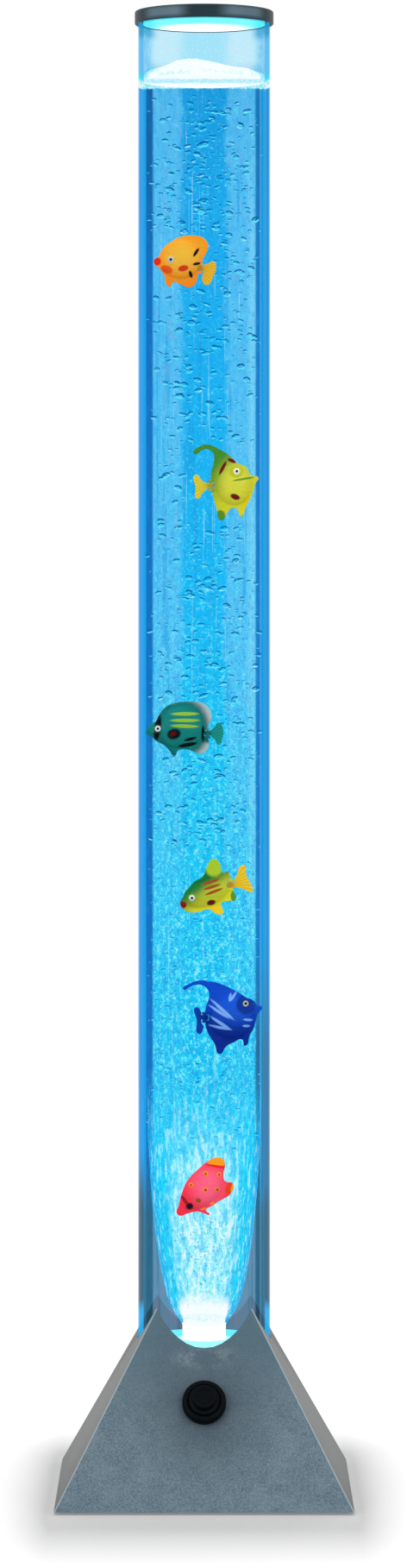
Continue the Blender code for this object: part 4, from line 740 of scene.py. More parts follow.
def plume_finish(name):
    """The rush of bubbles over the air stone: a white core in a cyan sleeve, breaking up as it rises."""
    finish = Finish(name)
    z = finish.axes()[2]
    facing = finish.facing()
    grain = finish.noise(0.0026, 3, 0.8, tall=1.3)
    dots = finish.noise(0.0016, 2, 0.6)
    streaks = finish.noise(0.0024, 2, 0.6, tall=4.5)
    flange = z.rise(0.0994, 0.0986)
    fade = z.rise(0.258, 0.185)
    inner = facing.rise(0.36, 0.08) * z.rise(0.25, 0.14)
    heart = z.rise(0.116, 0.104) * (facing + (z - 0.105) * 18).rise(0.54, 0.36)
    tone = finish.layers(
        (0.004, 0.66, 0.93),
        (facing.rise(0.42, 0.75), (0.01, 0.4, 0.8)),
        ((inner * (0.2 + 1.2 * grain)).least(1), (0.4, 0.94, 0.965)),
        (grain.rise(0.53, 0.66) * (0.5 + 0.45 * inner).least(1), finish.mix(inner, CYAN_BRIGHT, NEAR_WHITE)),
        (dots.rise(0.43, 0.31) * 0.85, (0.02, 0.52, 0.7)),
        (grain.rise(0.5, 0.36) * (1 - inner) * 0.75, EDGE_BLUE),
        (dots.rise(0.58, 0.68) * (1 - inner) * 0.6, (0.12, 0.86, 0.97)),
        (streaks.rise(0.53, 0.64) * 0.6, finish.mix(inner, WHITE_CYAN, NEAR_WHITE)),
        (streaks.rise(0.46, 0.36) * 0.5, (0.006, 0.44, 0.85)),
        ((heart * (0.45 + 1.4 * grain)).least(1), NEAR_WHITE),
        (flange, NEAR_WHITE),
    )
    shown = (fade + (grain - 0.5) * 3.2 * fade * (1 - fade)).least(1).most(0)
    shown = (shown * 0.87).most(flange) * far_side(finish).most(flange)
    return let_light_in(finish, shown, glow(finish, tone, 1.12))


def core_finish(name):
    """The white heart of the plume over the air stone, torn into grains at its top."""
    finish = Finish(name)
    z = finish.axes()[2]
    grain = finish.noise(0.0024, 3, 0.75)
    tone = finish.mix(grain.rise(0.4, 0.52).most(z.rise(0.103, 0.101)), (0.55, 0.94, 0.97), NEAR_WHITE)
    return let_light_in(finish, (z + (grain - 0.5) * 0.005).rise(0.1064, 0.104), glow(finish, tone))


def bubble_finish(name, light, shade):
    """A bubble: clear at the heart, dark blue above and bright below, like a small lens over the light."""
    finish = Finish(name)
    lift = finish.make("ShaderNodeAttribute", {"attribute_name": "lift"}, out="Fac")
    over, under = lift.rise(0, 0.3), lift.rise(-0.05, -0.4)
    lit = finish.mix(finish.noise(0.004, 1).rise(0.58, 0.72), light, WHITE_CYAN)
    shown = finish.facing().rise(0.1, 0.42) * (over * 0.92 + under * 0.8) + 0.06
    return let_light_in(finish, shown.least(1), glow(finish, finish.mix(under, shade, lit)))


def foam_finish(name):
    """Foam on the water: white froth with painted cyan shade in its hollows, cyan and broken at its rim and
    underside.
    """
    finish = Finish(name, {"Roughness": 0.6, "Specular IOR Level": 0.1, "Emission Strength": 0.95})
    x, y, z = finish.axes()
    froth = finish.cells(0.0022)
    fine = finish.noise(0.0013, 3, 0.7)
    patch = finish.noise(0.006, 2, 0.6)
    lower = z.rise(WATER_TOP + 0.005, WATER_TOP + 0.002)
    under = z.rise(WATER_TOP + 0.0016, WATER_TOP + 0.0004)
    # painted shade in the froth's hollows: cyan in its glow and darker in its base colour
    hollow = ((fine.rise(0.58, 0.72) * 0.45 + froth.rise(0.45, 0.7) * 0.25) * (0.5 + 0.2 * lower)).least(1)
    line = (y + (patch - 0.5) * 0.02).size().rise(0.016, 0.008)
    shade = finish.mix(line * (0.25 + 0.75 * fine.rise(0.56, 0.4)), NEAR_WHITE, (0.08, 0.7, 0.85))
    rim = finish.facing().rise(0.45, 0.85) * z.rise(WATER_TOP + 0.0085, WATER_TOP + 0.005)
    rim_ends = rim * z.rise(WATER_TOP + 0.0006, WATER_TOP + 0.0016) * x.size().rise(0.024, 0.034)
    tone = finish.layers(
        NEAR_WHITE,
        (hollow, (0.1, 0.66, 0.82)),
        (lower * patch.rise(0.48, 0.62) * 0.22, (0.04, 0.6, 0.8)),
        (under * 0.9, shade),
        (rim_ends * 0.8, (0.05, 0.68, 0.9)),
    )
    finish.feed("Base Color", finish.mix(hollow, (0.1, 0.12, 0.13), (0.02, 0.08, 0.11)))
    return finish.feed("Emission Color", tone).relief(froth, 0.0006)


def lit_plastic(name, colour, glow_colour, strength, core=None, shift=0):
    """Pale plastic lit from inside the tube, white in its core and coloured round it."""
    finish = Finish(name, {"Roughness": 0.35, "Emission Strength": strength})
    x, y, _ = finish.axes()
    cloud = finish.noise(0.008, 3)
    tone = finish.mix(cloud * 0.1, glow_colour, NEAR_WHITE)
    if core:
        away = (x * x + (y - shift) ** 2) ** 0.5
        tone = finish.mix(away.rise(core, core * 0.55), tone, NEAR_WHITE)
    finish.feed("Emission Color", tone).feed("Base Color", finish.mix(cloud * 0.08, colour, (0.9, 0.95, 1)))
    return finish.relief(finish.noise(0.0015), 0.00005)


# ---------------------------------------------------------------- the fish

PLATE_THICKNESS = 0.0016
TAIL_THICKNESS = 0.0012
THICK_SHARE = 0.16
EYE_RADIUS = 0.0016
EYE_SINK = 0.0006
STEM_HALF = 0.0013
STEM_LENGTH = 0.0023
KNUCKLE_RADIUS = 0.0019
HALF_KNUCKLE = 0.0015
LUG_RADIUS = 0.0019
HALF_POCKET = HALF_KNUCKLE + GAP
HALF_LUG = HALF_POCKET + 0.0014
POCKET_RADIUS = 0.0023
PIN_RADIUS = 0.00045
TAIL_RAYS = 34
SCALE_PITCH = 0.0021

# A casting's mesh size, how often it is smoothed, and the share of its faces that is kept
BODY_CASTING = (0.0004, 3, 0.45)
TAIL_CASTING = (0.00026, 2, 0.5)

# For each fish: its middle and size in metres, and its lean in degrees. The core's place and half size, the
# pin and the eye are in shares of the size. The outline is a row of x, z in hundredths of the size, and the
# tail one in thousandths of the length, from the pin.
FISH = {
    "orange_fish": {
        "middle": (-0.01405, 0.739436), "size": (0.0329, 0.0314), "lean": 0,
        "core": (0, 0.04, 0.4, 0.38), "pin": (0.34, -0.13), "eye": (-0.185, 0.028),
        "outline": (
            -50, 0, -37, 13, -22, 34, 1, 48, 23, 50, 43, 44, 50, 31, 45, 13, 36, -1, 32, -15, 31, -31, 23, -47, 14,
            -50, 1, -45, -15, -40, -19, -49, -27, -44, -30, -29, -38, -15,
        ),
        "tail": (76, 62, 150, 78, 262, 130, 307, 30, 252, -149, 145, -313, 66, -262, 50, -150, 74, -85),
    },
    "green_fish": {
        "middle": (0.0132, 0.606136), "size": (0.0394, 0.046), "lean": 0,
        "core": (0.12, -0.02, 0.28, 0.28), "pin": (-0.23, -0.04), "eye": (0.164, 0.145),
        "outline": (
            -50, 38, -39, 48, -28, 50, -13, 45, 6, 35, 17, 26, 32, 20, 37, 10, 50, 6, 46, 0, 39, -18, 31, -31, 22,
            -45, 18, -36, 11, -33, 2, -40, -7, -50, -15, -33, -20, -18, -23, -4, -23, 13, -19, 26, -20, 39, -31, 44,
        ),
        "tail": (-64, 36, -130, 68, -244, 168, -236, -25, -214, -205, -122, -109, -64, -50),
    },
    "teal_fish": {
        "middle": (-0.0154, 0.457638), "size": (0.0402, 0.0329), "lean": 0,
        "core": (0.02, 0.02, 0.38, 0.38), "pin": (0.43, -0.08), "eye": (-0.312, 0.005),
        "outline": (
            -50, -6, -35, 9, -30, 24, -17, 42, -3, 48, 15, 50, 34, 48, 45, 38, 50, 20, 44, 4, 43, -13, 46, -29, 39,
            -43, 30, -46, 19, -40, -1, -40, -6, -50, -14, -40, -21, -31, -34, -22, -41, -14,
        ),
        "tail": (64, 46, 105, 85, 172, 158, 238, 60, 225, -80, 180, -176, 100, -85, 64, -55),
    },
    "lime_fish": {
        "middle": (0.0022, 0.36252), "size": (0.0336, 0.0336), "lean": 20,
        "core": (-0.02, -0.13, 0.41, 0.22), "pin": (0.4, 0.03), "eye": (-0.284, -0.199),
        "outline": (
            -50, -29, -43, -17, -35, -4, -24, 9, -9, 18, -2, 35, 10, 50, 22, 41, 28, 24, 35, 28, 40, 20, 43, 11, 45,
            -4, 50, -24, 39, -26, 24, -30, 28, -48, 17, -50, 2, -41, -17, -46, -35, -46, -45, -40,
        ),
        "tail": (76, 85, 130, 190, 178, 325, 256, 358, 285, 180, 412, -95, 390, -135, 250, -78, 110, -50),
    },
    "blue_fish": {
        "middle": (0.0111, 0.283584), "size": (0.0478, 0.0445), "lean": 0,
        "core": (0.11, 0, 0.27, 0.29), "pin": (-0.22, 0), "eye": (0.292, 0.193),
        "outline": (
            -50, 38, -41, 46, -29, 50, -16, 49, -1, 45, 11, 39, 20, 34, 31, 25, 35, 16, 50, 14, 45, 6, 42, -5, 39,
            -16, 35, -23, 28, -39, 25, -30, 14, -34, 5, -39, -4, -50, -10, -36, -19, -20, -23, -2, -21, 15, -17, 28,
            -19, 38, -27, 44, -38, 43,
        ),
        "tail": (-46, 52, -118, 128, -106, -38, -78, -212, -22, -132, -22, -100, -45, -74, -46, -50),
    },
    "pink_fish": {
        "middle": (0.00035, 0.181586), "size": (0.0343, 0.0352), "lean": 45,
        "core": (-0.03, -0.04, 0.42, 0.27), "pin": None, "eye": (-0.267, -0.332),
        "outline": (
            -50, -44, -46, -33, -43, -21, -37, -2, -27, 15, -12, 29, 3, 42, 22, 50, 33, 46, 36, 38, 33, 21, 36, 9,
            50, 5, 45, -13, 33, -21, 22, -27, 14, -33, 2, -41, 9, -48, -1, -46, -12, -43, -29, -46, -45, -50,
        ),
        "tail": (),
    },
}


def points(row, whole):
    """(x, z) shares from a row of whole numbers."""
    return [(x / whole, z / whole) for x, z in zip(row[::2], row[1::2])]


def place_on(facts, x, z):
    """The place on a fish that is named by shares of its size."""
    (middle_x, middle_z), (length, height) = facts["middle"], facts["size"]
    return middle_x + x * length, middle_z + z * height


def plate(name, outline, thickness):
    """A flat fin or body plate cut to an outline in the XZ plane, with a smooth edge line."""
    curve = bpy.data.curves.new(name, "CURVE")
    curve.dimensions = "2D"
    curve.fill_mode = "BOTH"
    curve.extrude = thickness / 2
    curve.resolution_u = 4
    spline = curve.splines.new("BEZIER")
    spline.bezier_points.add(len(outline) - 1)
    for point, (x, z) in zip(spline.bezier_points, outline):
        point.co = (x, z, 0)
        point.handle_left_type = point.handle_right_type = "AUTO"
    spline.use_cyclic_u = True
    guide = bpy.data.objects.new(name, curve)
    bpy.context.scene.collection.objects.link(guide)
    pick(guide)
    bpy.ops.object.convert(target="MESH")
    piece = added(name)
    with shaping(piece, "FACE"):
        bpy.ops.mesh.select_all(action="SELECT")
        bpy.ops.mesh.remove_doubles(threshold=1e-6)
        bpy.ops.mesh.normals_make_consistent(inside=False)
    return put(piece, Matrix.Rotation(math.pi / 2, 4, "X"))


def egg(name, centre, half_size, lean=0, segments=40):
    """A rounded swelling: a sphere set at its place, turn and half sizes."""
    clear_selection()
    bpy.ops.mesh.primitive_uv_sphere_add(segments=segments, ring_count=segments // 2, radius=1)
    matrix = Matrix.Translation(centre) @ Matrix.Rotation(-lean, 4, "Y") @ Matrix.Diagonal((*half_size, 1))
    return put(added(name), matrix), matrix


def cast(piece, fineness, rounds, keep):
    """One smooth casting from the joined swellings and fins."""
    use_modifier(piece, "REMESH", mode="VOXEL", voxel_size=fineness)
    use_modifier(piece, "SMOOTH", factor=0.5, iterations=rounds)
    return use_modifier(piece, "DECIMATE", ratio=keep)


def fish_body(name, facts):
    """One fish body: thick middle, snout and brow that flow into thin fins, with eyes and a tail pocket."""
    length, height = facts["size"]
    core_x, core_z, half_x, half_z = facts["core"]
    eye_x, eye_z = facts["eye"]
    lean = math.radians(facts["lean"])
    outline = [(x * length, z * height) for x, z in points(facts["outline"], 100)]
    fins = plate(name + "_fins", outline, PLATE_THICKNESS)
    half_size = (half_x * length, THICK_SHARE * length, half_z * height)
    core, matrix = egg(name + "_core", (core_x * length, 0, core_z * height), half_size, lean)
    way = math.copysign(1, eye_x) if abs(eye_x) > 0.1 else -1
    head = Vector((eye_x * length * 0.92, 0, eye_z * height * 0.7 - 0.0008))
    head_size = (0.17 * length, 0.085 * length, 0.15 * height)
    brow, _ = egg(name + "_brow", head, head_size, lean + 0.15 * way)
    eye = Vector((eye_x * length, 0, eye_z * height))
    off_middle = min(1, (matrix.inverted() @ eye).length)
    bulge = half_size[1] * math.sqrt(1 - off_middle ** 2)
    eye.y = max(PLATE_THICKNESS / 2, bulge) - EYE_SINK
    eyes = [
        egg(f"{name}_eye_{side}", (eye.x, side * eye.y, eye.z), [EYE_RADIUS] * 3, segments=24)[0] for side in (-1, 1)
    ]
    piece = cast(joined(name, [fins, core, brow] + eyes), *BODY_CASTING)
    if facts["pin"]:
        pin = (facts["pin"][0] * length, 0, facts["pin"][1] * height)
        cut(piece, bar("lug", LUG_RADIUS, -HALF_LUG, HALF_LUG, pin), "UNION")
        cut(piece, bar("pocket", POCKET_RADIUS, -HALF_POCKET, HALF_POCKET, pin))
        cut(piece, bar("pin_way", PIN_RADIUS + GAP, -2 * HALF_LUG, 2 * HALF_LUG, pin, segments=12))
    middle_x, middle_z = facts["middle"]
    return put(piece, Matrix.Translation((middle_x, 0, middle_z)))


def fish_tail(name, facts):
    """A thin tail fan with a round knuckle and pin that turn between the body's lugs."""
    length, _ = facts["size"]
    fan = [(x * length, z * length) for x, z in points(facts["tail"], 1000)]
    stem_end = math.copysign(1, facts["pin"][0]) * STEM_LENGTH
    outline = [(0, STEM_HALF), (stem_end, STEM_HALF)] + fan + [(stem_end, -STEM_HALF), (0, -STEM_HALF)]
    piece = cast(plate(name, outline, TAIL_THICKNESS), *TAIL_CASTING)
    cut(piece, bar("knuckle", KNUCKLE_RADIUS, -HALF_KNUCKLE, HALF_KNUCKLE), "UNION")
    cut(piece, bar("tail_pin", PIN_RADIUS, -HALF_LUG, HALF_LUG, segments=12), "UNION")
    pin_x, pin_z = place_on(facts, *facts["pin"])
    return put(piece, Matrix.Translation((pin_x, 0, pin_z)))


MAROON = (0.16, 0.01, 0.012)
BLACK = (0.006, 0.006, 0.008)
EYE_BLACK = (0.004, 0.004, 0.006)
RED = (0.8, 0.025, 0.01)
STRIPE_LIME = (0.28, 0.52, 0.035)
FIN_GREY = (0.42, 0.55, 0.58)
TEAL = (0.006, 0.22, 0.2)
SKY = (0.2, 0.42, 0.9)
RUST = (0.36, 0.07, 0.012)
SPOT = (0.95, 0.24, 0.02)
SUN = (0.95, 0.66, 0.02)

# For each fish: two ground tones and the slope between them in degrees, a soft patch of light at its heart,
# then paint marks. A patch or mark is a colour, its centre and half sizes in shares of the fish's size, and
# its turn in degrees. The eye has the colours of its ring and its white, and the tail those of its rays.
FISH_PAINT = {
    "orange_fish": {
        "low": (0.93, 0.26, 0.012), "high": (0.96, 0.34, 0.015), "slope": 0,
        "heart": ((0.86, 0.52, 0.05), 0.02, 0.06, 0.3, 0.32, 0),
        "eye": ((0.8, 0.5, 0.12), (0.45, 0.62, 0.75)), "tail": ((0.9, 0.48, 0.015), (0.98, 0.66, 0.05)),
        "marks": (
            (RED, -0.44, 0, 0.075, 0.075, 0), ((0.85, 0.1, 0.01), -0.26, -0.16, 0.11, 0.07, 20),
            ((0.68, 0.045, 0.012), 0.045, -0.14, 0.095, 0.055, -12), (BLACK, 0.28, 0.17, 0.095, 0.028, -58),
            (BLACK, 0.29, -0.05, 0.07, 0.026, -12), (BLACK, 0.18, -0.25, 0.065, 0.032, 72),
        ),
    },
    "green_fish": {
        "low": (0.66, 0.66, 0.02), "high": (0.06, 0.27, 0.03), "slope": 38,
        "heart": ((0.72, 0.74, 0.06), 0.14, -0.02, 0.22, 0.26, 0),
        "eye": ((0.62, 0.66, 0.1), (0.88, 0.92, 0.85)), "tail": ((0.8, 0.64, 0.015), (0.93, 0.82, 0.08)),
        "marks": (
            ((0.78, 0.64, 0.012), 0.31, -0.3, 0.07, 0.16, 18), ((0.1, 0.28, 0.02), -0.09, -0.44, 0.08, 0.09, 0),
            (MAROON, 0.09, 0.285, 0.07, 0.028, 22), (MAROON, -0.05, 0.19, 0.118, 0.026, -62),
            ((0.14, 0.32, 0.03), 0.27, 0.045, 0.17, 0.016, -10), ((0.48, 0.52, 0.02), 0.155, 0.14, 0.105, 0.09, 0),
            (MAROON, 0.14, -0.19, 0.075, 0.042, 20),
        ),
    },
    "teal_fish": {
        "low": (0.004, 0.16, 0.15), "high": (0.008, 0.26, 0.23), "slope": 0,
        "heart": None,
        "eye": ((0.02, 0.12, 0.12), (0.82, 0.88, 0.86)), "tail": ((0.008, 0.27, 0.22), (0.02, 0.42, 0.36)),
        "marks": (
            (FIN_GREY, 0.44, 0.3, 0.2, 0.3, 0), (FIN_GREY, 0.38, -0.42, 0.18, 0.14, 0),
            (FIN_GREY, 0.16, 0.47, 0.3, 0.085, 0), ((0.003, 0.07, 0.07), 0.07, 0.015, 0.375, 0.435, 0),
            (TEAL, 0.06, 0.015, 0.345, 0.395, 0), (BLACK, -0.315, 0.02, 0.05, 0.2, 8),
            (STRIPE_LIME, 0.096, 0.275, 0.2, 0.026, 0), (STRIPE_LIME, 0.096, 0.157, 0.21, 0.026, 0),
            (STRIPE_LIME, 0.09, 0.052, 0.2, 0.026, 2), (BLACK, -0.07, -0.093, 0.105, 0.08, -15),
            ((0.1, 0.004, 0.006), -0.09, -0.09, 0.055, 0.03, -25), (BLACK, 0.177, -0.185, 0.1, 0.024, -15),
            (BLACK, 0.135, -0.291, 0.145, 0.03, -10), (BLACK, 0.365, -0.09, 0.022, 0.12, 0),
        ),
    },
    "lime_fish": {
        "low": (0.74, 0.72, 0.02), "high": (0.008, 0.19, 0.04), "slope": 36, "blend": (-0.3, 0.14),
        "heart": ((0.46, 0.58, 0.04), 0.12, -0.1, 0.26, 0.12, -22),
        "eye": ((0.22, 0.42, 0.06), (0.85, 0.9, 0.88)), "tail": ((1, 0.6, 0.012), (1, 0.78, 0.05)),
        "marks": (
            ((0.4, 0.62, 0.03), 0.11, 0.36, 0.16, 0.18, 0), (SUN, 0.16, -0.44, 0.13, 0.09, 0),
            ((0.1, 0.32, 0.03), 0.47, -0.17, 0.06, 0.1, 0), ((0.26, 0.01, 0.008), -0.45, -0.33, 0.07, 0.062, 0),
            (RUST, 0.05, 0.085, 0.17, 0.026, -17), (RUST, 0.076, 0, 0.16, 0.026, -17),
            (RUST, 0.11, -0.085, 0.165, 0.026, -20), (MAROON, 0.062, -0.285, 0.08, 0.052, -12),
        ),
    },
    "blue_fish": {
        "low": (0.003, 0.026, 0.3), "high": (0.004, 0.07, 0.62), "slope": -10,
        "heart": ((0.008, 0.1, 0.66), 0.16, 0.16, 0.22, 0.2, 0),
        "eye": ((0.003, 0.02, 0.16), (0.42, 0.48, 0.52)), "tail": ((0.003, 0.045, 0.42), (0.006, 0.08, 0.6)),
        "marks": (
            ((0.003, 0.035, 0.33), 0.292, 0.18, 0.12, 0.12, 0), (SKY, -0.005, 0.115, 0.185, 0.02, 40),
            (SKY, -0.045, 0.085, 0.15, 0.018, 31), (SKY, -0.025, -0.068, 0.15, 0.02, 32),
            (SKY, -0.03, -0.128, 0.14, 0.018, 9), (SKY, 0.095, 0.278, 0.05, 0.016, -80),
            (SKY, 0.14, 0.292, 0.072, 0.016, -55), (SKY, 0.32, -0.025, 0.06, 0.016, 8),
            (SKY, 0.3, -0.108, 0.048, 0.016, 5),
        ),
    },
    "pink_fish": {
        "low": (0.86, 0.03, 0.065), "high": (0.9, 0.045, 0.1), "slope": 0, "lit": 0.34,
        "heart": ((0.97, 0.13, 0.24), 0.06, 0, 0.26, 0.3, 0),
        "eye": ((0.2, 0.008, 0.012), (0.012, 0.004, 0.005)), "tail": None,
        "marks": (
            ((0.95, 0.33, 0.015), 0.24, 0.45, 0.2, 0.1, 0), (RED, 0.2, 0.35, 0.19, 0.022, 8),
            ((0.8, 0.05, 0.012), 0.44, -0.03, 0.075, 0.12, 20), ((0.92, 0.3, 0.012), 0.5, 0, 0.03, 0.1, 20),
            ((0.35, 0.008, 0.015), -0.355, -0.23, 0.105, 0.032, 52), (SPOT, 0.014, 0.234, 0.046, 0.04, 0),
            (SPOT, 0.253, 0.214, 0.04, 0.038, 0), (SPOT, -0.24, 0.041, 0.042, 0.038, 0),
            (SPOT, 0.014, -0.037, 0.046, 0.042, 0), (SPOT, 0.223, -0.037, 0.046, 0.04, 0),
            (RUST, -0.114, -0.225, 0.048, 0.044, 0), (SPOT, 0.127, -0.285, 0.044, 0.026, -25),
            (SPOT, -0.02, -0.38, 0.05, 0.02, -10), (RUST, 0.014, 0.228, 0.024, 0.024, 0),
            (RUST, 0.253, 0.208, 0.02, 0.022, 0), (RUST, -0.24, 0.035, 0.022, 0.022, 0),
            (RUST, 0.014, -0.044, 0.026, 0.026, 0), (RUST, 0.223, -0.044, 0.026, 0.026, 0),
        ),
    },
}


def fish_finish(name, facts, paint):
    """Painted vinyl: the fish's colours and eyes over pressed scales and fin rays. The colours also glow a little as
    painted light.
    """
    finish = Finish(name + "_paint", {"Specular IOR Level": 0.06, "Emission Strength": paint.get("lit", 0.12)})
    (middle_x, middle_z), (length, height) = facts["middle"], facts["size"]
    slope = math.radians(paint["slope"])
    x, _, z = finish.axes()
    up = (x - middle_x) * (math.sin(slope) / length) * -1 + (z - middle_z) * (math.cos(slope) / height)
    tone = finish.mix(up.rise(*paint.get("blend", (-0.32, 0.36))), paint["low"], paint["high"])
    if paint["heart"]:
        colour, mark_x, mark_z, half_x, half_z, turn = paint["heart"]
        patch = (half_x * length, half_z * height)
        shown = finish.spot(place_on(facts, mark_x, mark_z), patch, math.radians(turn), 0.7)
        tone = finish.mix(shown * 0.85, tone, colour)
    ring, white = paint["eye"]
    eye = EYE_RADIUS / length
    eye_marks = [(colour, *facts["eye"], eye * share, eye * share, 0)
                 for colour, share in ((ring, 1.45), (white, 1.05), (EYE_BLACK, 0.52))]
    for colour, mark_x, mark_z, half_x, half_z, turn in (*paint["marks"], *eye_marks):
        mark = (half_x * length, half_z * length)
        shown = finish.spot(place_on(facts, mark_x, mark_z), mark, math.radians(turn), 0.22)
        tone = finish.mix(shown, tone, colour)
    scales = finish.cells(SCALE_PITCH, place=finish.fitted((middle_x, 0, middle_z), size=(1.25, 3, 0.8)))
    blush = finish.noise(0.005, 3, 0.6)
    # painted light: the fish's colours glow a little
    finish.feed("Emission Color", tone)
    return finish.coat(
        finish.mix(blush.rise(0.6, 0.85) * 0.06, tone, (0.9, 0.9, 0.85)), 0.25 + 0.15 * blush, scales, 0.00025
    )


def tail_finish(name, facts, paint):
    """Tail paint: fine rays that fan out from the pin."""
    finish = Finish(name + "_tail_paint", {"Specular IOR Level": 0.06})
    pin_x, pin_z = place_on(facts, *facts["pin"])
    x, _, z = finish.axes()
    ray = ((z - pin_z).turn_from((x - pin_x).size()) * TAIL_RAYS).sine() * 0.5 + 0.5
    return finish.coat(finish.mix(ray * 0.8, *paint["tail"]), 0.3 + 0.12 * ray, ray, 0.0002)


def make_fish():
    for name, facts in FISH.items():
        paint = FISH_PAINT[name]
        body = smooth(fish_body(name + "_form", facts), 60)
        dress(body, fish_finish(name, facts, paint))
        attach(body, name)
        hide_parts(name + "_body")
        if facts["pin"]:
            tail = smooth(fish_tail(name + "_fan", facts), 60)
            dress(tail, tail_finish(name, facts, paint))
            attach(tail, name + "_tail")
            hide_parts(name + "_tail")


# ---------------------------------------------------------------- the tube, its water and light

def make_tube():
    wall = turned("tube_wall", softened([
        (BORE_RADIUS, TUBE_MIDDLE), (BORE_RADIUS, TUBE_BOTTOM), (TUBE_RADIUS, TUBE_BOTTOM),
        (TUBE_RADIUS, TUBE_TOP), (BORE_RADIUS, TUBE_TOP), (BORE_RADIUS, TUBE_MIDDLE + 0.01),
    ], 0.0004), 128, ring=True)
    dress(smooth(wall), wall_finish("clear_wall"))
    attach(wall, "lamp")
    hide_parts("acrylic_tube")

    levels = [WATER_LOW + (WATER_TOP - FLOOR_TOP - 0.0002) * step / 40 for step in range(41)]
    side = [(LIT_RADIUS, level) for level in levels]
    water = turned("lit_water", [(0, levels[0])] + side + [(0, levels[-1])], 96)
    dress(smooth(water), water_finish("water_light"))
    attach(water, "lamp")

    air = turned("lit_air", [
        (0, AIR_LOW_END), (LIT_RADIUS, AIR_LOW_END), (LIT_RADIUS, AIR_HIGH_END), (0, AIR_HIGH_END),
    ], 96)
    dress(smooth(air), air_finish("air_light"))
    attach(air, "lamp")

    plume = turned("bubble_plume", [
        (0, PLUME_LOW), (0.013, PLUME_LOW), (0.0131, 0.0985), (0.0145, 0.101), (0.0175, 0.105), (0.02, 0.1095),
        (0.0225, 0.116), (0.025, 0.126), (0.0275, 0.14), (0.03, 0.158), (0.032, 0.18), (0.0338, 0.208),
        (0.0348, 0.236), (0.035, 0.2595), (0, 0.2595),
    ], 96)
    dress(smooth(plume, 60), plume_finish("plume_light"))
    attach(plume, "lamp")

    core = turned("plume_core", [
        (0, 0.097), (0.0124, 0.097), (0.0126, 0.1), (0.0125, 0.1018), (0.0119, 0.103), (0.01, 0.1035), (0, 0.1035),
    ], 48)
    dress(smooth(core, 60), core_finish("plume_heart"))
    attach(core, "lamp")

    make_foam()


def make_foam():
    """A mound of foam, roughened and then leant over to the left, higher up the more."""
    foam = turned("foam", [(0, FOAM_LOW), (0.0362, FOAM_LOW)] + [(radius, WATER_TOP + rise) for radius, rise in (
        (0.0366, 0.002), (0.0362, 0.0038), (0.033, 0.0055), (0.028, 0.0066), (0.022, 0.008), (0.016, 0.0098),
        (0.01, 0.0118), (0.005, 0.0129), (0, 0.0132),
    )], 96)
    with shaping(foam, "VERT") as shape:
        choose(foam, shape.verts, lambda v: v.co.z > WATER_TOP + 0.001 and v.co.xy.length < 0.035)
        bpy.ops.transform.vertex_random(offset=FOAM_LUMPS, seed=4)
    for rise in (0.0046, 0.006, 0.0073, 0.0089, 0.0108):
        with shaping(foam, "VERT") as shape:
            choose(foam, shape.verts, lambda v: v.co.z > WATER_TOP + rise)
            bpy.ops.transform.translate(value=(FOAM_LEAN, 0, 0))
    dress(smooth(foam, 60), foam_finish("froth"))
    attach(foam, "lamp")


def by_fish(facts, x, z):
    """Whether a place is at a fish, in front of it or behind it, where no bubble is put."""
    (middle_x, middle_z), (length, height) = facts["middle"], facts["size"]
    return abs(x - middle_x) < length * 0.62 and abs(z - middle_z) < height * 0.54


def make_bubbles():
    """Bubbles modelled once and copied: sparse at the top, small and thick lower down."""
    chance = random.Random(7)
    # name, how many, their radii, their lowest and highest share of the water, and their light and shade
    groups = (
        ("bubbles_large", 360, (0.0012, 0.0025), 0.38, 0.985, (0.1, 0.78, 0.98), (0.002, 0.125, 0.4)),
        ("bubbles_middle", 620, (0.0006, 0.0013), 0.14, 0.985, (0.06, 0.76, 0.97), (0.002, 0.19, 0.56)),
        ("bubbles_upper", 170, (0.0009, 0.0018), 0.78, 0.99, (0.03, 0.6, 0.93), (0.001, 0.13, 0.44)),
        ("bubbles_fine", 900, (0.0003, 0.0007), 0.04, 0.48, (0.16, 0.86, 0.97), (0.002, 0.26, 0.66)),
    )
    for name, count, (small, large), low, high, light, shade in groups:
        clear_selection()
        bpy.ops.mesh.primitive_uv_sphere_add(segments=8, ring_count=6, radius=1)
        model = added(name + "_model")
        lift = model.data.attributes.new("lift", "FLOAT", "POINT")
        lift.data.foreach_set("value", [vertex.co.z for vertex in model.data.vertices])
        copies = []
        while len(copies) < count:
            size = small + (large - small) * chance.random() ** 1.5
            share = low + (high - low) * chance.random()
            reach = (BORE_RADIUS - BUBBLE_GAP - size) * math.sqrt(chance.random())
            if share < DRAWN_IN_SHARE:
                reach *= 0.3 + share * 5
            turn = chance.uniform(0, 2 * math.pi)
            x, y = reach * math.cos(turn), reach * math.sin(turn)
            z = BUBBLES_LOW + BUBBLES_HEIGHT * share
            if any(by_fish(facts, x, z) for facts in FISH.values()):
                continue
            copy = model.copy()
            copy.data = model.data.copy()
            copy.matrix_world = (
                Matrix.Translation((x, y, z))
                @ Matrix.Rotation(chance.uniform(-0.35, 0.35), 4, "Y")
                @ Matrix.Rotation(turn, 4, "Z")
                @ Matrix.Diagonal((size, size * chance.uniform(1, 1.5), size * chance.uniform(0.5, 0.8), 1))
            )
            bpy.context.scene.collection.objects.link(copy)
            copies.append(copy)
        bpy.data.objects.remove(model, do_unlink=True)
        piece = settle(joined(name, copies))
        dress(smooth(piece, 80), bubble_finish(name + "_skin", light, shade))
        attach(piece, "lamp")


# ---------------------------------------------------------------- the cap, base and button

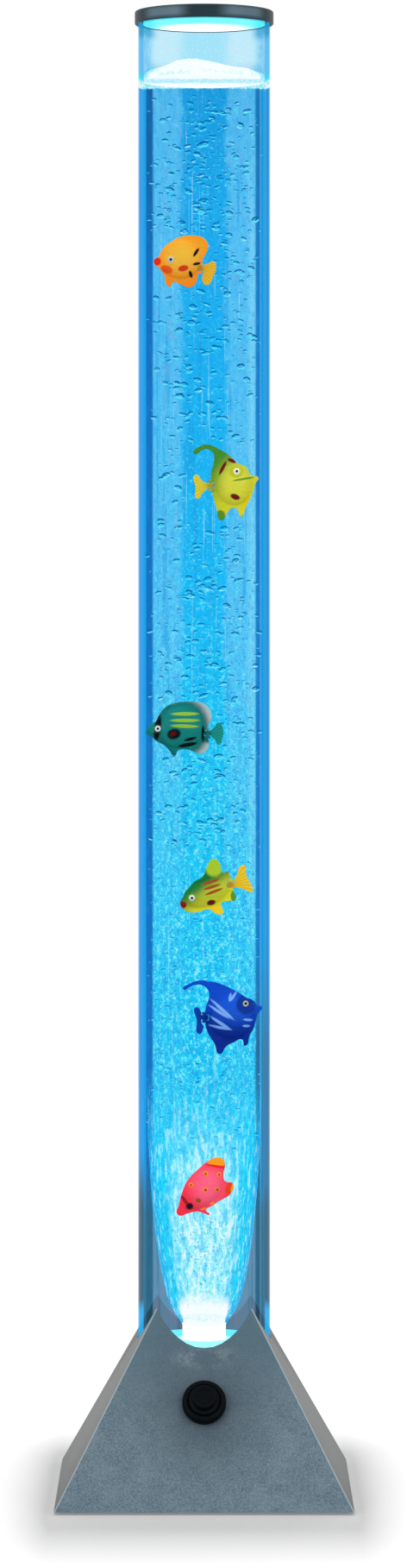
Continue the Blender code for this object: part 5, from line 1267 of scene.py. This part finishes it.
def make_cap():
    inner = TUBE_RADIUS + GAP
    cap = turned("cap_form", softened([
        (0, CAP_HEIGHT), (CAP_RADIUS, CAP_HEIGHT), (CAP_RADIUS, 0), (inner, 0), (inner, CAP_LIP), (0, CAP_LIP),
    ], 0.0012, 5), 128)
    put(cap, Matrix.Translation((0, 0, CAP_BOTTOM)))
    for index in range(VENTS):
        turn = 2 * math.pi * index / VENTS + math.pi / 2
        place = (VENT_RING_RADIUS * math.cos(turn), VENT_RING_RADIUS * math.sin(turn), CAP_BOTTOM)
        cut(cap, bar("vent", VENT_RADIUS, -0.002, CAP_HEIGHT + 0.004, place))
    dress(smooth(cap, 30), cap_finish("satin_cap"))
    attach(cap, "cap")
    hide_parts("top_cap")


def make_base():
    housing = refined("base_shell", "base_housing", 0.0007)
    dress(housing, speckled_paint("speckled_slate", SLATE_DEEP, SLATE, SLATE_PALE))
    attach(housing, "lamp")
    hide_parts("base_shell")


def make_button():
    face = Matrix.Translation(FACE_PLACE) @ Matrix.Rotation(FACE_ANGLE, 4, "X")
    black = glossy_black("button_gloss")
    outer, tall, rounding, floor = 0.013, 0.0068, 0.0024, 0.002
    cup, neck = 0.0092 + GAP, 0.0062 + GAP
    bezel = turned("button_collar", [
        (neck, floor), (cup, floor), (cup, tall - 0.0006), (cup + 0.0004, tall - 0.0001), (cup + 0.001, tall),
        (outer - rounding * 0.75, tall - 0.0001), (outer - rounding * 0.4, tall - rounding * 0.2),
        (outer - rounding * 0.15, tall - rounding * 0.5), (outer, tall - rounding), (outer, GAP + 0.0004),
        (outer - 0.0004, GAP), (neck, GAP),
    ], 64, ring=True)
    put(bezel, face)
    dress(smooth(bezel, 35), black)
    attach(bezel, "lamp")
    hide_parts("button_bezel")

    top, dish, top_radius, flange_radius, shoulder = 0.0085, 0.005, 0.007, 0.0092, 0.0034
    stem, stem_end, seat = 0.0026, -0.009, 0.0051
    knob = turned("button_form", softened([
        (0, top - 0.0012), (dish - 0.0012, top - 0.0012), (dish, top), (top_radius, top), (top_radius, shoulder),
        (flange_radius, shoulder - 0.0008), (flange_radius, 0), (stem, 0), (stem, stem_end), (0, stem_end),
    ], 0.0006, 4), 64)
    put(knob, face @ Matrix.Translation((0, 0, seat)))
    dress(smooth(knob, 35), black)
    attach(knob, "button")
    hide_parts("button_cap")


def dress_nodes():
    """Finishes of the CAD pieces that stay as they are, each with the names or the starts of names that wear it."""
    finishes = (
        (moulded("cover_plastic", (0.012, 0.013, 0.015), (0.03, 0.032, 0.035), 0.5), "bottom_cover"),
        (rubbery("foot_rubber", (0.012, 0.012, 0.013), (0.045, 0.045, 0.048)), "foot_"),
        (brushed("screw_plate", (0.45, 0.46, 0.48), (0.75, 0.76, 0.78)),
         "cover_screw seat_screw pump_arm button_spring jack_nut"),
        (lit_plastic("floor_acrylic", (0.2, 0.4, 0.45), (0.02, 0.66, 0.86), 1, 0.018), "tube_floor"),
        (rubbery("seal_rubber", (0.02, 0.02, 0.022), (0.05, 0.05, 0.055)), "floor_seal"),
        (moulded("seat_plastic", (0.7, 0.72, 0.74), (0.82, 0.84, 0.86)), "tube_seat"),
        # the cap plug glows with painted light from the tube: white at its heart, set towards the back, cyan round it
        (lit_plastic("plug_painted_glow", (0.01, 0.06, 0.07), (0.01, 0.7, 0.84), 1, 0.034, 0.02), "cap_plug"),
        (moulded("nozzle_plastic", (0.3, 0.32, 0.34), (0.42, 0.44, 0.46)), "air_nozzle"),
        (brushed("nut_plate", (0.6, 0.42, 0.16), (0.85, 0.66, 0.32)), "nozzle_nut"),
        (porous("air_stone_grit", (0.45, 0.5, 0.52), (0.75, 0.8, 0.82), 0.0007, 0.0002), "air_stone"),
        (circuit_board("light_board", (0.62, 0.64, 0.64), (0.78, 0.8, 0.8), (0.75, 0.62, 0.35)), "led_board"),
        (lit_plastic("light_lens", (0.6, 0.8, 0.95), (0.1, 0.6, 1), 2), "led_1 led_2 led_3"),
        (moulded("pump_plastic", (0.05, 0.055, 0.06), (0.09, 0.095, 0.1), 0.55), "pump_case pump_lid"),
        (porous("pad_foam", (0.1, 0.1, 0.11), (0.22, 0.22, 0.23)), "pump_pad"),
        (wound("copper_coil", (0.55, 0.2, 0.07), (0.85, 0.42, 0.2)), "pump_coil"),
        (brushed("iron_core", (0.22, 0.22, 0.23), (0.38, 0.38, 0.4), 0.42), "pump_core"),
        (brushed("magnet_plate", (0.62, 0.6, 0.56), (0.82, 0.8, 0.76), 0.22), "pump_magnet"),
        (moulded("valve_plastic", (0.6, 0.62, 0.62), (0.75, 0.76, 0.76)), "pump_valve_block"),
        (rubbery("diaphragm_rubber", (0.016, 0.016, 0.018), (0.05, 0.05, 0.05)), "pump_diaphragm"),
        (moulded("hose_silicone", (0.6, 0.66, 0.68), (0.76, 0.8, 0.82), 0.35), "air_hose_"),
        (moulded("check_valve_white", (0.74, 0.75, 0.76), (0.85, 0.86, 0.87)), "check_valve"),
        (circuit_board("control_board", (0.01, 0.12, 0.035), (0.03, 0.22, 0.07), (0.7, 0.55, 0.25)), "control_board"),
        (moulded("wire_red", (0.5, 0.012, 0.01), (0.65, 0.05, 0.04)), "jack_wire"),
        (moulded("wire_black", (0.01, 0.01, 0.011), (0.035, 0.035, 0.038)), "switch_wire"),
        (moulded("wire_grey", (0.22, 0.23, 0.24), (0.34, 0.35, 0.36)), "led_wire"),
        (moulded("switch_plastic", (0.08, 0.08, 0.09), (0.14, 0.14, 0.15)), "switch_body"),
        (moulded("jack_plastic", (0.01, 0.011, 0.012), (0.03, 0.031, 0.033), 0.38), "dc_jack"),
    )
    for finish, starts in finishes:
        for name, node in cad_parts.items():
            if name.startswith(tuple(starts.split())):
                for slot in node.material_slots:
                    slot.material = finish.material


# ---------------------------------------------------------------- studio

FLOOR_SIZE = 12
FLOOR_HEIGHT = -0.0001
AIM_HEIGHT = 0.45


def shown_white(tree):
    """1 for rays that show the background: from the camera, or off gloss and glass."""
    seen, gloss, through = (
        add_node(tree, "ShaderNodeLightPath", out=f"Is {kind} Ray") for kind in ("Camera", "Glossy", "Transmission")
    )
    return (seen + gloss + through).least(1)


def paper_finish(name):
    """Pale paper that shows white, apart from a soft shade round the lamp's foot."""
    paper = Finish(name, {"Roughness": 0.9, "Specular IOR Level": 0.1})
    paper.feed("Base Color", paper.mix(paper.noise(0.004), (0.42, 0.42, 0.42), (0.45, 0.45, 0.45)))
    x, y, _ = paper.axes()
    beside = ((x.size() - BASE_HALF).most(0) + 0.004) ** 0.42 - 0.0984
    along = (-1 * y - BASE_HALF).most(0) + (y - BASE_HALF).most(0) * 1.4
    away = (beside * beside + along * along) ** 0.5
    shown = away.rise(-0.06, 0.2) * 0.65 + away.rise(0.045, 0) * 0.14
    return paper.feed("Emission Color", WHITE).feed("Emission Strength", shown_white(paper.tree) * shown)


def make_studio():
    clear_selection()
    place = (0, 0, FLOOR_HEIGHT)
    bpy.ops.mesh.primitive_grid_add(x_subdivisions=4, y_subdivisions=4, size=FLOOR_SIZE, location=place)
    floor = settle(added("studio_floor"))
    dress(floor, paper_finish("pale_paper"))

    world = bpy.data.worlds.new("studio_air")
    bpy.context.scene.world = world
    world.use_nodes = True
    tree = world.node_tree
    tree.nodes.clear()
    soft, white = (
        add_node(tree, "ShaderNodeBackground", None, {"Color": WHITE, "Strength": strength}) for strength in (0.75, 1)
    )
    mixed = add_node(tree, "ShaderNodeMixShader", None, {0: shown_white(tree), 1: soft, 2: white})
    join(tree, tree.nodes.new("ShaderNodeOutputWorld").inputs["Surface"], mixed)

    for name, place, size, power, colour in (
        ("key_softbox", (-1.5, -1.9, 1.5), (0.9, 1.4), 13, WHITE),
        ("fill_softbox", (1.7, -1.6, 1.2), (0.8, 1.4), 7, (1, 0.99, 0.97)),
        ("top_softbox", (0, 0.5, 2.4), (1.4, 1.4), 6, WHITE),
        ("back_softbox", (0.6, 2, 1.3), (1.2, 1.4), 5, WHITE),
        ("left_strip", (-1.46, -1.37, 0.62), (0.05, 0.75), 5, WHITE),
        ("right_strip", (0.88, -1.8, 0.66), (0.05, 0.65), 5, WHITE),
    ):
        lamp = bpy.data.lights.new(name, "AREA")
        lamp.shape = "RECTANGLE"
        lamp.size, lamp.size_y = size
        lamp.energy = power
        lamp.color = colour
        item = bpy.data.objects.new(name, lamp)
        item.visible_diffuse = "softbox" in name
        item.visible_glossy = "strip" in name or "top" in name
        item.location = place
        item.rotation_euler = (Vector((0, 0, AIM_HEIGHT)) - Vector(place)).to_track_quat("-Z", "Y").to_euler()
        bpy.context.scene.collection.objects.link(item)


def make_camera():
    camera = bpy.data.objects.new("photo_camera", bpy.data.cameras.new("photo_camera"))
    camera.location = CAMERA_PLACE
    camera.rotation_euler = (math.pi / 2, 0, 0)
    camera.data.sensor_fit = "AUTO"
    camera.data.sensor_width = CAMERA_SENSOR
    camera.data.lens = CAMERA_LENS
    camera.data.shift_x, camera.data.shift_y = CAMERA_SHIFT
    bpy.context.scene.collection.objects.link(camera)
    bpy.context.scene.camera = camera
    bpy.context.scene.view_settings.view_transform = "Standard"


make_camera()
make_studio()
make_base()
make_cap()
make_button()
make_tube()
make_fish()
make_bubbles()
dress_nodes()
clear_selection()
